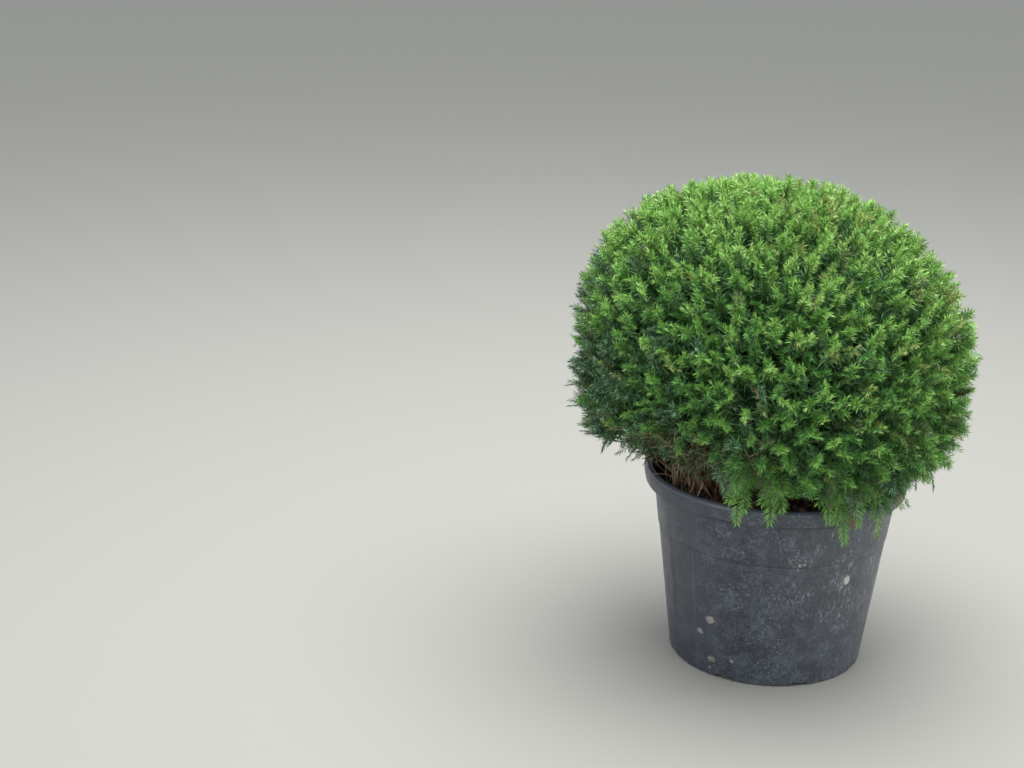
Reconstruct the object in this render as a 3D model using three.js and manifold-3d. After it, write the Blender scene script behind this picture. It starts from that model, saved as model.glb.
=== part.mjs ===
// A yew clipped to a ball, growing in a round nursery pot: pot, compost, trunk, boughs and crown.
// Millimetres, +Z up. The origin is the centre of the pot's flat underside, and -Y is the front.
import * as THREE from 'three';
import { mergeVertices } from 'three/addons/utils/BufferGeometryUtils.js';
import Module from 'manifold-3d';

const wasm = await Module();
wasm.setup();

// Driving dimensions of the pot
const rimRadius = 270;
const potHeight = 405;
const footRadius = 199;
const wallTopRadius = 248; // just under the rim's skirt
const wall = 3.5;
const potSides = 48;
const soilDepthBelowRim = 40;
const gap = 0.35; // clearance between neighbouring pieces

// Driving dimensions of the crown
const crownMiddle = new THREE.Vector3(-30, 0, 645);
const crownGirth = 400; // from the middle to the tips, level with it
const crownRise = 344; // from the middle to the topmost tips
const crownSag = 304; // how deep the lower half would reach if nothing trimmed it
const underside = 442; // where the crown is trimmed below, a hand above the rim
const undersideLift = 42; // how much higher it is trimmed at the front left
const crownLean = -0.08; // sideways shift per millimetre of height
const shellDepth = 37; // the core lies this far inside the tips
const coreBump = 9; // how far the core's surface rises and falls
const sprayCount = 262;
const seed = 20417;

const plastic = new THREE.MeshStandardMaterial({ color: 0x35383c, roughness: 0.5, metalness: 0 });
const compost = new THREE.MeshStandardMaterial({ color: 0x3b2a1e, roughness: 0.95, metalness: 0 });
const bark = new THREE.MeshStandardMaterial({ color: 0x6b4530, roughness: 0.85, metalness: 0 });
const needles = new THREE.MeshStandardMaterial({ color: 0x3f7a2c, roughness: 0.6, metalness: 0 });

// A seeded random number between low and high, the same in each run.
let state = seed;
function random(low = 0, high = 1) {
  state = (state + 0x6d2b79f5) | 0;
  let t = Math.imul(state ^ (state >>> 15), 1 | state);
  t = (t + Math.imul(t ^ (t >>> 7), 61 | t)) ^ t;
  return low + (((t ^ (t >>> 14)) >>> 0) / 4294967296) * (high - low);
}

function jitter(amount) {
  return new THREE.Vector3(random(-1, 1), random(-1, 1), random(-1, 1)).multiplyScalar(amount);
}

function solidOf(geometry) {
  const bare = geometry.clone();
  bare.deleteAttribute('normal');
  bare.deleteAttribute('uv');
  const merged = mergeVertices(bare, 1e-3);
  const vertProperties = merged.attributes.position.array;
  const triVerts = new Uint32Array(merged.index.array);
  return new wasm.Manifold(new wasm.Mesh({ numProp: 3, vertProperties, triVerts }));
}

function geometryOf(solid) {
  const { vertProperties, triVerts } = solid.getMesh();
  const indexed = new THREE.BufferGeometry();
  indexed.setAttribute('position', new THREE.BufferAttribute(vertProperties, 3));
  indexed.setIndex(new THREE.BufferAttribute(triVerts, 1));
  const geometry = indexed.toNonIndexed();
  geometry.computeVertexNormals();
  return geometry;
}

function subtractAll(solid, others) {
  return others.reduce((body, other) => body.subtract(other), solid);
}

function largestPiece(solid) {
  return solid.decompose().sort((a, b) => b.volume() - a.volume())[0];
}

function touches(solid, others) {
  return others.some((other) => solid.intersect(other).volume() > 0);
}

// A solid of revolution about Z from [radius, height] points, listed upwards on the outside.
function turned(profile) {
  const points = profile.map(([radius, height]) => new THREE.Vector2(radius, height));
  return new THREE.LatheGeometry(points, potSides).rotateX(Math.PI / 2);
}

// Everything between two heights.
function slab(low, high) {
  const reach = 4 * rimRadius;
  return solidOf(new THREE.BoxGeometry(reach, reach, high - low).translate(0, 0, (low + high) / 2));
}

// A point at a turn in degrees from the front towards +X.
function atTurn(degrees, radius, height) {
  const turn = THREE.MathUtils.degToRad(degrees);
  return new THREE.Vector3(Math.sin(turn) * radius, -Math.cos(turn) * radius, height);
}

// A tapering limb of round section along a smooth curve, flat at both ends.
function limb(points, radii, { sides = 8, steps = 6, grow = 0 } = {}) {
  const curve = new THREE.CatmullRomCurve3(points);
  const frames = curve.computeFrenetFrames(steps);
  const last = radii.length - 1;
  const positions = [];
  for (let i = 0; i <= steps; i++) {
    const along = (i / steps) * last;
    const before = Math.min(Math.floor(along), last - 1);
    const radius = THREE.MathUtils.lerp(radii[before], radii[before + 1], along - before) + grow;
    const centre = curve.getPointAt(i / steps);
    for (let j = 0; j < sides; j++) {
      const turn = (j / sides) * 2 * Math.PI;
      const spoke = frames.normals[i].clone().multiplyScalar(Math.cos(turn) * radius);
      spoke.addScaledVector(frames.binormals[i], Math.sin(turn) * radius);
      positions.push(...centre.clone().add(spoke).toArray());
    }
  }
  const faces = [];
  for (let i = 0; i < steps; i++) {
    for (let j = 0; j < sides; j++) {
      const a = i * sides + j;
      const b = i * sides + ((j + 1) % sides);
      faces.push(a, b, b + sides, a, b + sides, a + sides);
    }
  }
  const end = steps * sides;
  for (let j = 1; j < sides - 1; j++) faces.push(0, j + 1, j, end, end + j, end + j + 1);
  const geometry = new THREE.BufferGeometry();
  geometry.setAttribute('position', new THREE.Float32BufferAttribute(positions, 3));
  geometry.setIndex(faces);
  return solidOf(geometry);
}

// The pot: a tapered wall with a shoulder and a rim that is rolled outwards and down to a skirt,
// on a foot ring and a middle pad with a drained channel between them.
const skirtHeight = 35;
const skirtRadius = 266;
const skirtThickness = 4;
const rollDepth = 11; // from the crest to the roof of the groove inside the skirt
const shoulderHeight = 276;
const shoulderStep = 1.5;
const channelDepth = 8;
const padRadius = 60;
const footRingWidth = 13;
const drainCount = 8;
const drainHoleRadius = 10;
const drainHoleRing = 140;
const notchWidth = 34;

function wallRadius(height) {
  const slope = (wallTopRadius - shoulderStep - footRadius) / (potHeight - skirtHeight);
  return footRadius + slope * height + (height > shoulderHeight ? shoulderStep : 0);
}

function makePot() {
  const skirtFoot = potHeight - skirtHeight;
  const roof = potHeight - rollDepth;
  const floor = channelDepth + wall;
  const ring = footRadius - footRingWidth;
  const body = solidOf(turned([
    [0, 0], [padRadius - 2, 0], [padRadius + 2, channelDepth],
    [ring - 2, channelDepth], [ring + 2, 0], [footRadius - 5, 0], [footRadius - 1, 2],
    [wallRadius(7), 7], [wallRadius(shoulderHeight), shoulderHeight],
    [wallRadius(shoulderHeight + 3), shoulderHeight + 3], [wallRadius(roof), roof],
    [skirtRadius - skirtThickness, roof], [skirtRadius - skirtThickness, skirtFoot],
    [skirtRadius - 1, skirtFoot], [skirtRadius, skirtFoot + 2], [rimRadius - 1, roof - 8],
    [rimRadius, roof], [rimRadius - 2, potHeight - 4], [rimRadius - 7, potHeight],
    [rimRadius - 12, potHeight], [rimRadius - 17, potHeight - 4],
    [wallRadius(roof) - wall, roof - 4], [wallRadius(floor + 6) - wall, floor + 6],
    [wallRadius(floor) - wall - 5, floor], [0, floor],
  ]));
  const cuts = [];
  for (let i = 0; i < drainCount; i++) {
    const turn = ((i + 0.5) / drainCount) * 2 * Math.PI;
    const hole = new THREE.CylinderGeometry(drainHoleRadius, drainHoleRadius, 40, 10);
    hole.rotateX(Math.PI / 2).translate(drainHoleRing, 0, 0).rotateZ(turn);
    const notch = new THREE.BoxGeometry(60, notchWidth, 2 * (channelDepth - 1));
    notch.translate(footRadius, 0, 0).rotateZ(turn);
    cuts.push(solidOf(hole), solidOf(notch));
  }
  return subtractAll(body, cuts);
}

// The compost fills the pot to a little below the rim and rises gently towards the trunk.
const soilTop = potHeight - soilDepthBelowRim;
const moundTop = soilTop + 8;
const moundRadius = 75;

function makeCompost(grow = 0) {
  const floor = channelDepth + wall + gap;
  const shrink = wall + gap;
  const top = soilTop + grow;
  return solidOf(turned([
    [0, floor], [wallRadius(floor) - shrink - 5, floor], [wallRadius(floor + 6) - shrink, floor + 6],
    [wallRadius(top - 12) - shrink - shoulderStep, top - 12],
    [wallTopRadius - 20, top - 3], [170, top + 2], [moundRadius, moundTop + grow], [0, moundTop + grow],
  ]));
}

// The crown's outline: how far the tips reach from its middle in a direction, less an inset.
const upperRoundness = 2.27; // 2 is an ellipse; more is squarer
const lowerRoundness = 3;
const trimSharpness = 9; // how tight the turn is from the side to the trimmed underside

function crownReach(direction, inset) {
  const level = Math.hypot(direction.x, direction.y);
  const below = direction.z < 0;
  const power = below ? lowerRoundness : upperRoundness;
  const tall = (below ? crownSag : crownRise) - inset;
  const sum = (level / (crownGirth - inset)) ** power + (Math.abs(direction.z) / tall) ** power;
  const whole = sum ** (1 / power);
  if (!below) return 1 / whole;
  const lift = undersideLift * Math.max(0, -0.77 * direction.x - 0.64 * direction.y);
  const trimmed = -direction.z / (crownMiddle.z - underside - lift - inset);
  return 1 / (whole ** trimSharpness + trimmed ** trimSharpness) ** (1 / trimSharpness);
}

// Low swells and hollows keep the clipped ball from being a perfect one.
function swell(direction) {
  const turn = Math.atan2(direction.y, direction.x);
  const level = Math.hypot(direction.x, direction.y);
  return 1 + 0.014 * level * (Math.sin(3 * turn + 5 * direction.z) + Math.cos(5 * turn - 4 * direction.z));
}

function onCrown(direction, inset = 0) {
  const reach = crownReach(direction, inset) * swell(direction);
  const place = direction.clone().multiplyScalar(reach);
  place.x += crownLean * place.z;
  return place.add(crownMiddle);
}

// The core that the sprays stand out of, with an uneven surface.
const coreSides = 24;
const coreRings = 13;

function makeCore(inset) {
  const geometry = new THREE.SphereGeometry(1, coreSides, coreRings).rotateX(Math.PI / 2);
  const place = geometry.attributes.position;
  for (let i = 0; i < place.count; i++) {
    const direction = new THREE.Vector3().fromBufferAttribute(place, i).normalize();
    const wave = Math.sin(23 * direction.x) + Math.sin(21 * direction.y) + Math.sin(19 * direction.z);
    place.setXYZ(i, ...onCrown(direction, inset + (coreBump * wave) / 3).toArray());
  }
  return solidOf(geometry);
}

// A spray of needles along +X from its root: a blade with toothed edges, thickest at the middle.
const toothedEdge = [[0, 0.3], [0.58, 1], [0.63, 0.45], [0.82, 0.8], [0.86, 0.3]];

function spray(length, halfWidth, thickness) {
  const half = toothedEdge.map(([along, aside]) => [along * length, aside * halfWidth]);
  const outline = [...half, [length, 0], ...half.toReversed().map(([x, y]) => [x, -y])];
  const middle = 0.68 * length;
  const positions = [middle, 0, thickness / 2, middle, 0, -thickness / 2];
  outline.forEach(([x, y]) => positions.push(x, y, 0));
  const faces = [];
  outline.forEach((_, i) => {
    const here = 2 + i;
    const next = 2 + ((i + 1) % outline.length);
    faces.push(0, next, here, 1, here, next);
  });
  const geometry = new THREE.BufferGeometry();
  geometry.setAttribute('position', new THREE.Float32BufferAttribute(positions, 3));
  geometry.setIndex(faces);
  return geometry;
}

// Lays a spray along a direction, with its flat side turned towards a second one.
function placed(geometry, root, along, facing) {
  const aside = new THREE.Vector3().crossVectors(facing, along).normalize();
  const up = new THREE.Vector3().crossVectors(along, aside);
  geometry.applyMatrix4(new THREE.Matrix4().makeBasis(along, aside, up));
  return solidOf(geometry.translate(...root.toArray()));
}

// Evenly spread directions, from the top of the crown to its underside.
function spreadDirection(index, count) {
  const height = 1 - (2 * (index + 0.5)) / count;
  const turn = index * Math.PI * (3 - Math.sqrt(5));
  const level = Math.sqrt(1 - height * height);
  return new THREE.Vector3(Math.cos(turn) * level, Math.sin(turn) * level, height);
}

// The sprays that cover the ball: each stands out of the core and leans a little upwards,
// apart from the hidden middle of the underside, which stays plain.
function crownSprays(keepClear) {
  const sprays = [];
  for (let i = 0; i < sprayCount; i++) {
    const direction = spreadDirection(i, sprayCount).add(jitter(0.04)).normalize();
    if (direction.z < -0.8) continue;
    const tip = onCrown(direction, random(0, 12));
    const lean = new THREE.Vector3(0, 0, direction.z < -0.45 ? 0 : 0.5);
    const along = direction.clone().add(lean).add(jitter(0.28)).normalize();
    const length = random(84, 98);
    const root = tip.clone().addScaledVector(along, -length);
    const facing = jitter(1).normalize();
    const blade = placed(spray(length, random(20, 25), 6), root, along, facing);
    if (!touches(blade, keepClear)) sprays.push(blade);
  }
  return sprays;
}

// Low shoots that droop over the rim: turn from the front, and where the tip hangs.
const lowShoots = [
  { turn: -14, tipRadius: 291, tipHeight: 384 },
  { turn: -1, tipRadius: 288, tipHeight: 390 },
  { turn: 27, tipRadius: 300, tipHeight: 356 },
  { turn: 43, tipRadius: 302, tipHeight: 360 },
  { turn: 84, tipRadius: 316, tipHeight: 388 },
  { turn: 128, tipRadius: 300, tipHeight: 372 },
  { turn: 171, tipRadius: 296, tipHeight: 386 },
  { turn: 214, tipRadius: 294, tipHeight: 368 },
  { turn: 252, tipRadius: 308, tipHeight: 398 },
];

function lowShoot({ turn, tipRadius, tipHeight }) {
  const root = atTurn(turn, 205, 520);
  const bend = atTurn(turn, rimRadius - 4, potHeight + 46);
  const end = atTurn(turn, tipRadius, tipHeight + 52);
  const outwards = atTurn(turn, 1, 0);
  const parts = [limb([root, bend, end], [4, 3, 2], { sides: 3, steps: 4 })];
  for (const spread of [-0.55, 0, 0.55]) {
    const down = new THREE.Vector3(0, 0, -1).applyAxisAngle(outwards, spread);
    const length = spread === 0 ? 62 : 52;
    parts.push(placed(spray(length, 11, 4), end.clone().addScaledVector(down, -8), down, outwards));
  }
  return wasm.Manifold.union(parts);
}

// The trunk: a short leaning stem with a flared foot, cut flat on the compost.
const trunkFoot = new THREE.Vector3(-24, 6, moundTop + gap);
const trunkTop = 456;
const stemTop = 520; // the trunk's last stretch belongs to the crown, as its stem
const trunkRadii = [38, 27, 23, 21, 20, 19, 18];

function trunkLimb(grow = 0) {
  const below = trunkFoot.clone().add(new THREE.Vector3(1, 0, -16));
  const middle = trunkFoot.clone().add(new THREE.Vector3(-2, -3, 55));
  const top = new THREE.Vector3(-34, 0, stemTop + 10);
  return limb([below, middle, top], trunkRadii, { sides: 12, steps: 7, grow });
}

// Boughs leave the trunk and rise to the crown's underside, fanned all round.
const boughCount = 10;

function makeBough(index, grow = 0) {
  const turn = (index / boughCount) * 360 + (index % 2 ? 10 : -8);
  const fork = trunkFoot.clone().add(new THREE.Vector3(0, 0, 34 + (index % 3) * 13));
  const root = fork.clone().add(atTurn(turn, 8, 0));
  const elbow = fork.clone().add(atTurn(turn + 6, 90 + (index % 3) * 14, 34 + (index % 2) * 14));
  const end = atTurn(turn + 2, 190 + (index % 3) * 18, 570);
  const radius = 10 + (index % 3) * 1.5;
  const radii = [radius, radius * 0.8, radius * 0.6];
  return limb([root, elbow, end], radii, { sides: 7, steps: 6, grow });
}

// Slender stems that rise from the compost by themselves, most of them at the front left.
const sideStems = [
  { foot: [-112, -96], head: [-232, -150], radius: 5.5 },
  { foot: [-124, -74], head: [-262, -84], radius: 5 },
  { foot: [-98, -112], head: [-176, -212], radius: 5 },
  { foot: [-84, -124], head: [-96, -240], radius: 4.5 },
  { foot: [-118, -42], head: [-268, -14], radius: 6 },
  { foot: [66, -96], head: [120, -226], radius: 5.5 },
  { foot: [96, 60], head: [214, 140], radius: 6 },
  { foot: [-60, 104], head: [-130, 228], radius: 5.5 },
];

function makeSideStem({ foot, head, radius }, grow = 0) {
  const start = new THREE.Vector3(...foot, soilTop - 6);
  const end = new THREE.Vector3(...head, 570);
  const middle = start.clone().lerp(end, 0.45).add(new THREE.Vector3(0, 0, 14));
  const radii = [radius, radius * 0.85, radius * 0.7];
  return limb([start, middle, end], radii, { sides: 6, steps: 4, grow });
}

const pot = makePot();
const soil = makeCompost();
const ground = makeCompost(gap);
const aboveCore = makeCore(shellDepth - gap);
const trunk = trunkLimb().intersect(slab(trunkFoot.z, trunkTop));

// Each limb is cut clear of those made before it, of the compost and of the crown's core.
const limbsBefore = [trunkLimb(gap)];
function clearOfOthers(make) {
  const body = largestPiece(subtractAll(make(0), [...limbsBefore, ground, aboveCore]));
  limbsBefore.push(make(gap));
  return body;
}

const boughs = [...Array(boughCount).keys()].map((i) => clearOfOthers((grow) => makeBough(i, grow)));
const stems = sideStems.map((stem) => clearOfOthers((grow) => makeSideStem(stem, grow)));

// The space that the crown's twigs stay out of, just outside the pot and its rim.
const potSpace = solidOf(turned([
  [0, 1], [footRadius + 2, 1], [wallTopRadius + 3, potHeight - skirtHeight - 2],
  [rimRadius + 2, potHeight - skirtHeight - 2], [rimRadius + 2, potHeight + 2],
  [wallTopRadius, potHeight + 2], [wallTopRadius - 6, soilTop + 2],
  [moundRadius, moundTop + 2], [0, moundTop + 2],
]));

function makeCrown() {
  const keepClear = [potSpace, ...limbsBefore.map((body) => body.subtract(aboveCore))];
  const stem = trunkLimb().intersect(slab(trunkTop + gap, stemTop));
  const shoots = lowShoots.map(lowShoot).filter((shoot) => !touches(shoot, keepClear));
  const parts = [makeCore(shellDepth), stem, ...shoots, ...crownSprays(keepClear)];
  return largestPiece(wasm.Manifold.union(parts));
}

const group = new THREE.Group();

function addNode(name, solid, material) {
  const mesh = new THREE.Mesh(geometryOf(solid), material);
  mesh.name = name;
  group.add(mesh);
}

addNode('pot', pot, plastic);
addNode('compost', soil, compost);
addNode('trunk', trunk, bark);
boughs.forEach((body, i) => addNode(`bough_${i + 1}`, body, bark));
stems.forEach((body, i) => addNode(`side_stem_${i + 1}`, body, bark));
addNode('crown', makeCrown(), needles);

export default group;
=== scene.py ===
# A yew clipped to a ball in a round nursery pot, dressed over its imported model.
# Metres, +Z up. The origin is the middle of the pot's underside, and -Y is the front.
import math

import bpy
import numpy as np
from mathutils import Matrix, Vector
from mathutils.bvhtree import BVHTree


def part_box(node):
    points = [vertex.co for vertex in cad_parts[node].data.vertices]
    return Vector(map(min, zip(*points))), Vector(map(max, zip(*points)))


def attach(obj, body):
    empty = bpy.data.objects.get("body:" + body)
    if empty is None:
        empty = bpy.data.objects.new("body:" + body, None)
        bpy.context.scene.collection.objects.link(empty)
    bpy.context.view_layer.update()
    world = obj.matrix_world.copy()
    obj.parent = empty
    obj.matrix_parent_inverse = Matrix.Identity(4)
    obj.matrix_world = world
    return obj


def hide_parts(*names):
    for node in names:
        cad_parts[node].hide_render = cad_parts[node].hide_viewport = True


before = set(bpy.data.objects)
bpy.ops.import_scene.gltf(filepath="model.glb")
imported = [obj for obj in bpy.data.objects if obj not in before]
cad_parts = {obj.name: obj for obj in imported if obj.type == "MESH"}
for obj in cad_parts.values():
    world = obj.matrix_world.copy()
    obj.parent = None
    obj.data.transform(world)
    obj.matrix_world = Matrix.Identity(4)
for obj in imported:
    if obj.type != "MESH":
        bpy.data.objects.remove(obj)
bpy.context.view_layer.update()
random = np.random.RandomState(20417)
upwards = np.array((0.0, 0.0, 1.0))
print("frame loaded")


# Selecting, naming and handing over a piece

def selectOnly(piece):
    bpy.ops.object.select_all(action="DESELECT")
    piece.select_set(True)
    bpy.context.view_layer.objects.active = piece


def takeNew(name):
    piece = bpy.context.object
    piece.name = name
    piece.data.name = name
    return piece


def applyPlace(piece):
    selectOnly(piece)
    bpy.ops.object.transform_apply(location=True, rotation=True, scale=True)


def applyModifier(piece, kind, **settings):
    selectOnly(piece)
    modifier = piece.modifiers.new(kind.title(), kind)
    for key, value in settings.items():
        setattr(modifier, key, value)
    bpy.ops.object.modifier_apply(modifier=modifier.name)


def smoothBy(piece, degrees):
    selectOnly(piece)
    bpy.ops.object.shade_smooth_by_angle(angle=math.radians(degrees))


def hand(piece, material, slotName, *nodes):
    piece.data.materials.clear()
    piece.data.materials.append(material)
    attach(piece, "root")
    if nodes:
        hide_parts(*nodes)


def pieceFromArrays(name, points, faces):
    mesh = bpy.data.meshes.new(name)
    mesh.vertices.add(len(points))
    mesh.vertices.foreach_set("co", points.astype(np.float32).ravel())
    mesh.loops.add(faces.size)
    mesh.loops.foreach_set("vertex_index", faces.astype(np.int32).ravel())
    mesh.polygons.add(len(faces))
    mesh.polygons.foreach_set("loop_start", np.arange(0, faces.size, faces.shape[1], dtype=np.int32))
    mesh.update(calc_edges=True)
    piece = bpy.data.objects.new(name, mesh)
    bpy.context.scene.collection.objects.link(piece)
    return piece


# Repeats the faces of one small shape for a number of copies, whose points follow one another.
def repeatFaces(faces, copies, pointsEach):
    shifted = faces[None] + (np.arange(copies) * pointsEach)[:, None, None]
    return shifted.reshape(-1, faces.shape[1])


# Vectors, held as rows of an array

def unit(vectors):
    return vectors / np.maximum(np.linalg.norm(vectors, axis=-1, keepdims=True), 1e-9)


def between(low, high, count):
    return random.uniform(low, high, count)


def jitter(count, amount):
    return random.uniform(-amount, amount, (count, 3))


def column(values):
    return np.asarray(values)[:, None]


def squareTo(vectors, axes):
    return unit(vectors - axes * np.sum(vectors * axes, axis=-1, keepdims=True))


# A way that leaves one axis towards another by an angle in radians.
def leaning(axes, towards, angle):
    return axes * column(np.cos(angle)) + towards * column(np.sin(angle))


# A point at a turn in degrees from the front towards +X.
def atTurn(degrees, radius, height):
    turn = np.radians(degrees)
    return np.stack(np.broadcast_arrays(np.sin(turn) * radius, -np.cos(turn) * radius, height), axis=-1)


# Shader nodes

def newMaterial(name, **settings):
    material = bpy.data.materials.new(name)
    material.use_nodes = True
    shader = material.node_tree.nodes["Principled BSDF"]
    for key, value in settings.items():
        shader.inputs[key.replace("_", " ")].default_value = value
    return material, shader


def join(material, source, socket):
    material.node_tree.links.new(source, socket)


def addNode(material, kind, inputs=(), **settings):
    node = material.node_tree.nodes.new(kind)
    for key, value in settings.items():
        setattr(node, key, value)
    for key, value in dict(inputs).items():
        if isinstance(value, bpy.types.NodeSocket):
            join(material, value, node.inputs[key])
        else:
            node.inputs[key].default_value = value
    return node


def objectPlace(material, stretch=(1, 1, 1)):
    place = addNode(material, "ShaderNodeTexCoord").outputs["Object"]
    return addNode(material, "ShaderNodeMapping", {"Vector": place, "Scale": stretch}).outputs["Vector"]


def noise(material, place, scale, detail, roughness=0.55):
    inputs = {"Vector": place, "Scale": scale, "Detail": detail, "Roughness": roughness}
    return addNode(material, "ShaderNodeTexNoise", inputs).outputs["Fac"]


def stepped(material, value, low, high, start=0.0, end=1.0):
    inputs = {"Value": value, "From Min": low, "From Max": high, "To Min": start, "To Max": end}
    return addNode(material, "ShaderNodeMapRange", inputs, interpolation_type="SMOOTHSTEP").outputs["Result"]


# A smooth step over a noise.
def patchy(material, place, scale, detail, roughness, low, high, start=0.0, end=1.0):
    return stepped(material, noise(material, place, scale, detail, roughness), low, high, start, end)


def calculate(material, operation, first, second=0.0):
    return addNode(material, "ShaderNodeMath", {0: first, 1: second}, operation=operation).outputs[0]


def multiply(material, *values):
    product = values[0]
    for value in values[1:]:
        product = calculate(material, "MULTIPLY", product, value)
    return product


def combineVectors(material, operation, *vectors):
    return addNode(material, "ShaderNodeVectorMath", enumerate(vectors), operation=operation).outputs


def blendColours(material, amount, first, second):
    node = addNode(material, "ShaderNodeMix", {"Factor": amount}, data_type="RGBA")
    for socket, colour in ((node.inputs[6], first), (node.inputs[7], second)):
        if isinstance(colour, bpy.types.NodeSocket):
            join(material, colour, socket)
        else:
            socket.default_value = (*colour, 1)
    return node.outputs[2]


def bump(material, height, strength, distance):
    inputs = {"Height": height, "Strength": strength, "Distance": distance}
    return addNode(material, "ShaderNodeBump", inputs).outputs["Normal"]


speckle = {"pattern": (3, 0.55, 0.35, 0.65), "grainFiner": 6, "grainDetail": 3, "bump": (0.3, 0.001)}


# A material of two tones, speckled by a noise of the given scale.
def plainSpeckled(name, dark, light, scale, roughness):
    material, shader = newMaterial(name, Roughness=roughness)
    place = objectPlace(material)
    amount = patchy(material, place, scale, *speckle["pattern"])
    join(material, blendColours(material, amount, dark, light), shader.inputs["Base Color"])
    grain = noise(material, place, scale * speckle["grainFiner"], speckle["grainDetail"])
    join(material, bump(material, grain, *speckle["bump"]), shader.inputs["Normal"])
    return material


# Camera

camera = {
    "place": (0.0, -3.6054, 1.7127),
    "turnLeft": 8.726,
    "tiltDown": 17.813,
    "roll": 1.255,
    "lens": 64.69,
    "sensor": 36.0,
}


def makeCamera():
    data = bpy.data.cameras.new("camera")
    data.lens = camera["lens"]
    data.sensor_width = camera["sensor"]
    piece = bpy.data.objects.new("camera", data)
    turn = Matrix.Rotation(math.radians(camera["turnLeft"]), 4, "Z")
    tilt = Matrix.Rotation(math.radians(90 - camera["tiltDown"]), 4, "X")
    roll = Matrix.Rotation(math.radians(camera["roll"]), 4, "Z")
    piece.matrix_world = Matrix.Translation(camera["place"]) @ turn @ tilt @ roll
    bpy.context.scene.collection.objects.link(piece)
    bpy.context.scene.camera = piece


# Floor and light

studio = {
    "floorSize": 90.0,
    "floorColour": (0.30, 0.295, 0.27, 1),
    "floorRoughness": 0.95,
    "skyColour": (0.92, 0.96, 1.0, 1),
    "skyStrength": 0.92,
    "lightsAimAt": (0, 0, 0.55),
}

lights = {
    "key": {"place": (0.15, 0.1, 4.2), "size": 4.2, "power": 340.0},
    "fill": {"place": (-2.6, -3.4, 2.4), "size": 2.6, "power": 30.0},
}


def addSoftLight(name, light):
    data = bpy.data.lights.new(name, "AREA")
    data.size = light["size"]
    data.energy = light["power"]
    piece = bpy.data.objects.new(name, data)
    piece.location = light["place"]
    way = Vector(studio["lightsAimAt"]) - Vector(light["place"])
    piece.rotation_euler = way.to_track_quat("-Z", "Y").to_euler()
    bpy.context.scene.collection.objects.link(piece)


def makeFloor():
    bpy.ops.object.select_all(action="DESELECT")
    bpy.ops.mesh.primitive_plane_add(size=studio["floorSize"])
    floor = takeNew("studio_floor")
    finish = {"Base_Color": studio["floorColour"], "Roughness": studio["floorRoughness"]}
    material, _ = newMaterial("pale_floor", **finish)
    floor.data.materials.append(material)


def makeSky():
    world = bpy.data.worlds.new("soft_sky")
    world.use_nodes = True
    sky = world.node_tree.nodes["Background"]
    sky.inputs["Color"].default_value = studio["skyColour"]
    sky.inputs["Strength"].default_value = studio["skyStrength"]
    bpy.context.scene.world = world
    bpy.context.scene.view_settings.view_transform = "Standard"


makeCamera()
makeFloor()
makeSky()
for name, light in lights.items():
    addSoftLight(name, light)
print("camera and studio ready")


# Pot: rings extruded along the profile, then the drain holes and the notches are cut

potLow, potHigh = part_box("pot")
pot = {
    "sides": 144,
    "height": potHigh.z,
    "rimRadius": (potHigh.x - potLow.x) / 2,
    "footRadius": 0.199,
    "wallTopRadius": 0.248,
    "wall": 0.0035,
    "skirtHeight": 0.035,
    "skirtRadius": 0.266,
    "skirtThickness": 0.004,
    "rollDepth": 0.011,
    "rollWidth": 0.019,
    "rollFoot": 0.008,
    "rollSteps": 12,
    "shoulderHeight": 0.276,
    "shoulderStep": 0.0015,
    "grooveDepth": 0.0004,
    "grooveSteps": (-0.003, -0.001, 0.002),
    "channelDepth": 0.008,
    "padRadius": 0.060,
    "poleRadius": 0.02,
    "footRingWidth": 0.013,
    "footCorner": ((0.005, 0), (0.002, 0.0008)),
    "corner": 0.002,
    "lip": 0.001,
    "insideCorner": (0.005, 0.006),
    "insideRadius": 0.1,
    "wallRings": (0.003, 0.012, 0.05, 0.1, 0.15, 0.2, 0.25),
    "bandRings": (0.285, 0.32, 0.36, 0.38),
    "insideRings": (0.36, 0.3, 0.2, 0.1),
    "drains": 8,
    "drainRing": 0.140,
    "drainHole": {"vertices": 24, "radius": 0.010, "depth": 0.04},
    "notchWidth": 0.034,
    "notchLength": 0.06,
    "smoothAngle": 32,
}
skirtFoot = pot["height"] - pot["skirtHeight"]
shoulder = pot["shoulderHeight"]


def wallRadius(height):
    rise = (pot["wallTopRadius"] - pot["shoulderStep"] - pot["footRadius"]) / skirtFoot
    return pot["footRadius"] + rise * height + (pot["shoulderStep"] if height > shoulder else 0)


def wallRings(heights, inset=0.0):
    return [(wallRadius(height) - inset, height) for height in heights]


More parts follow.
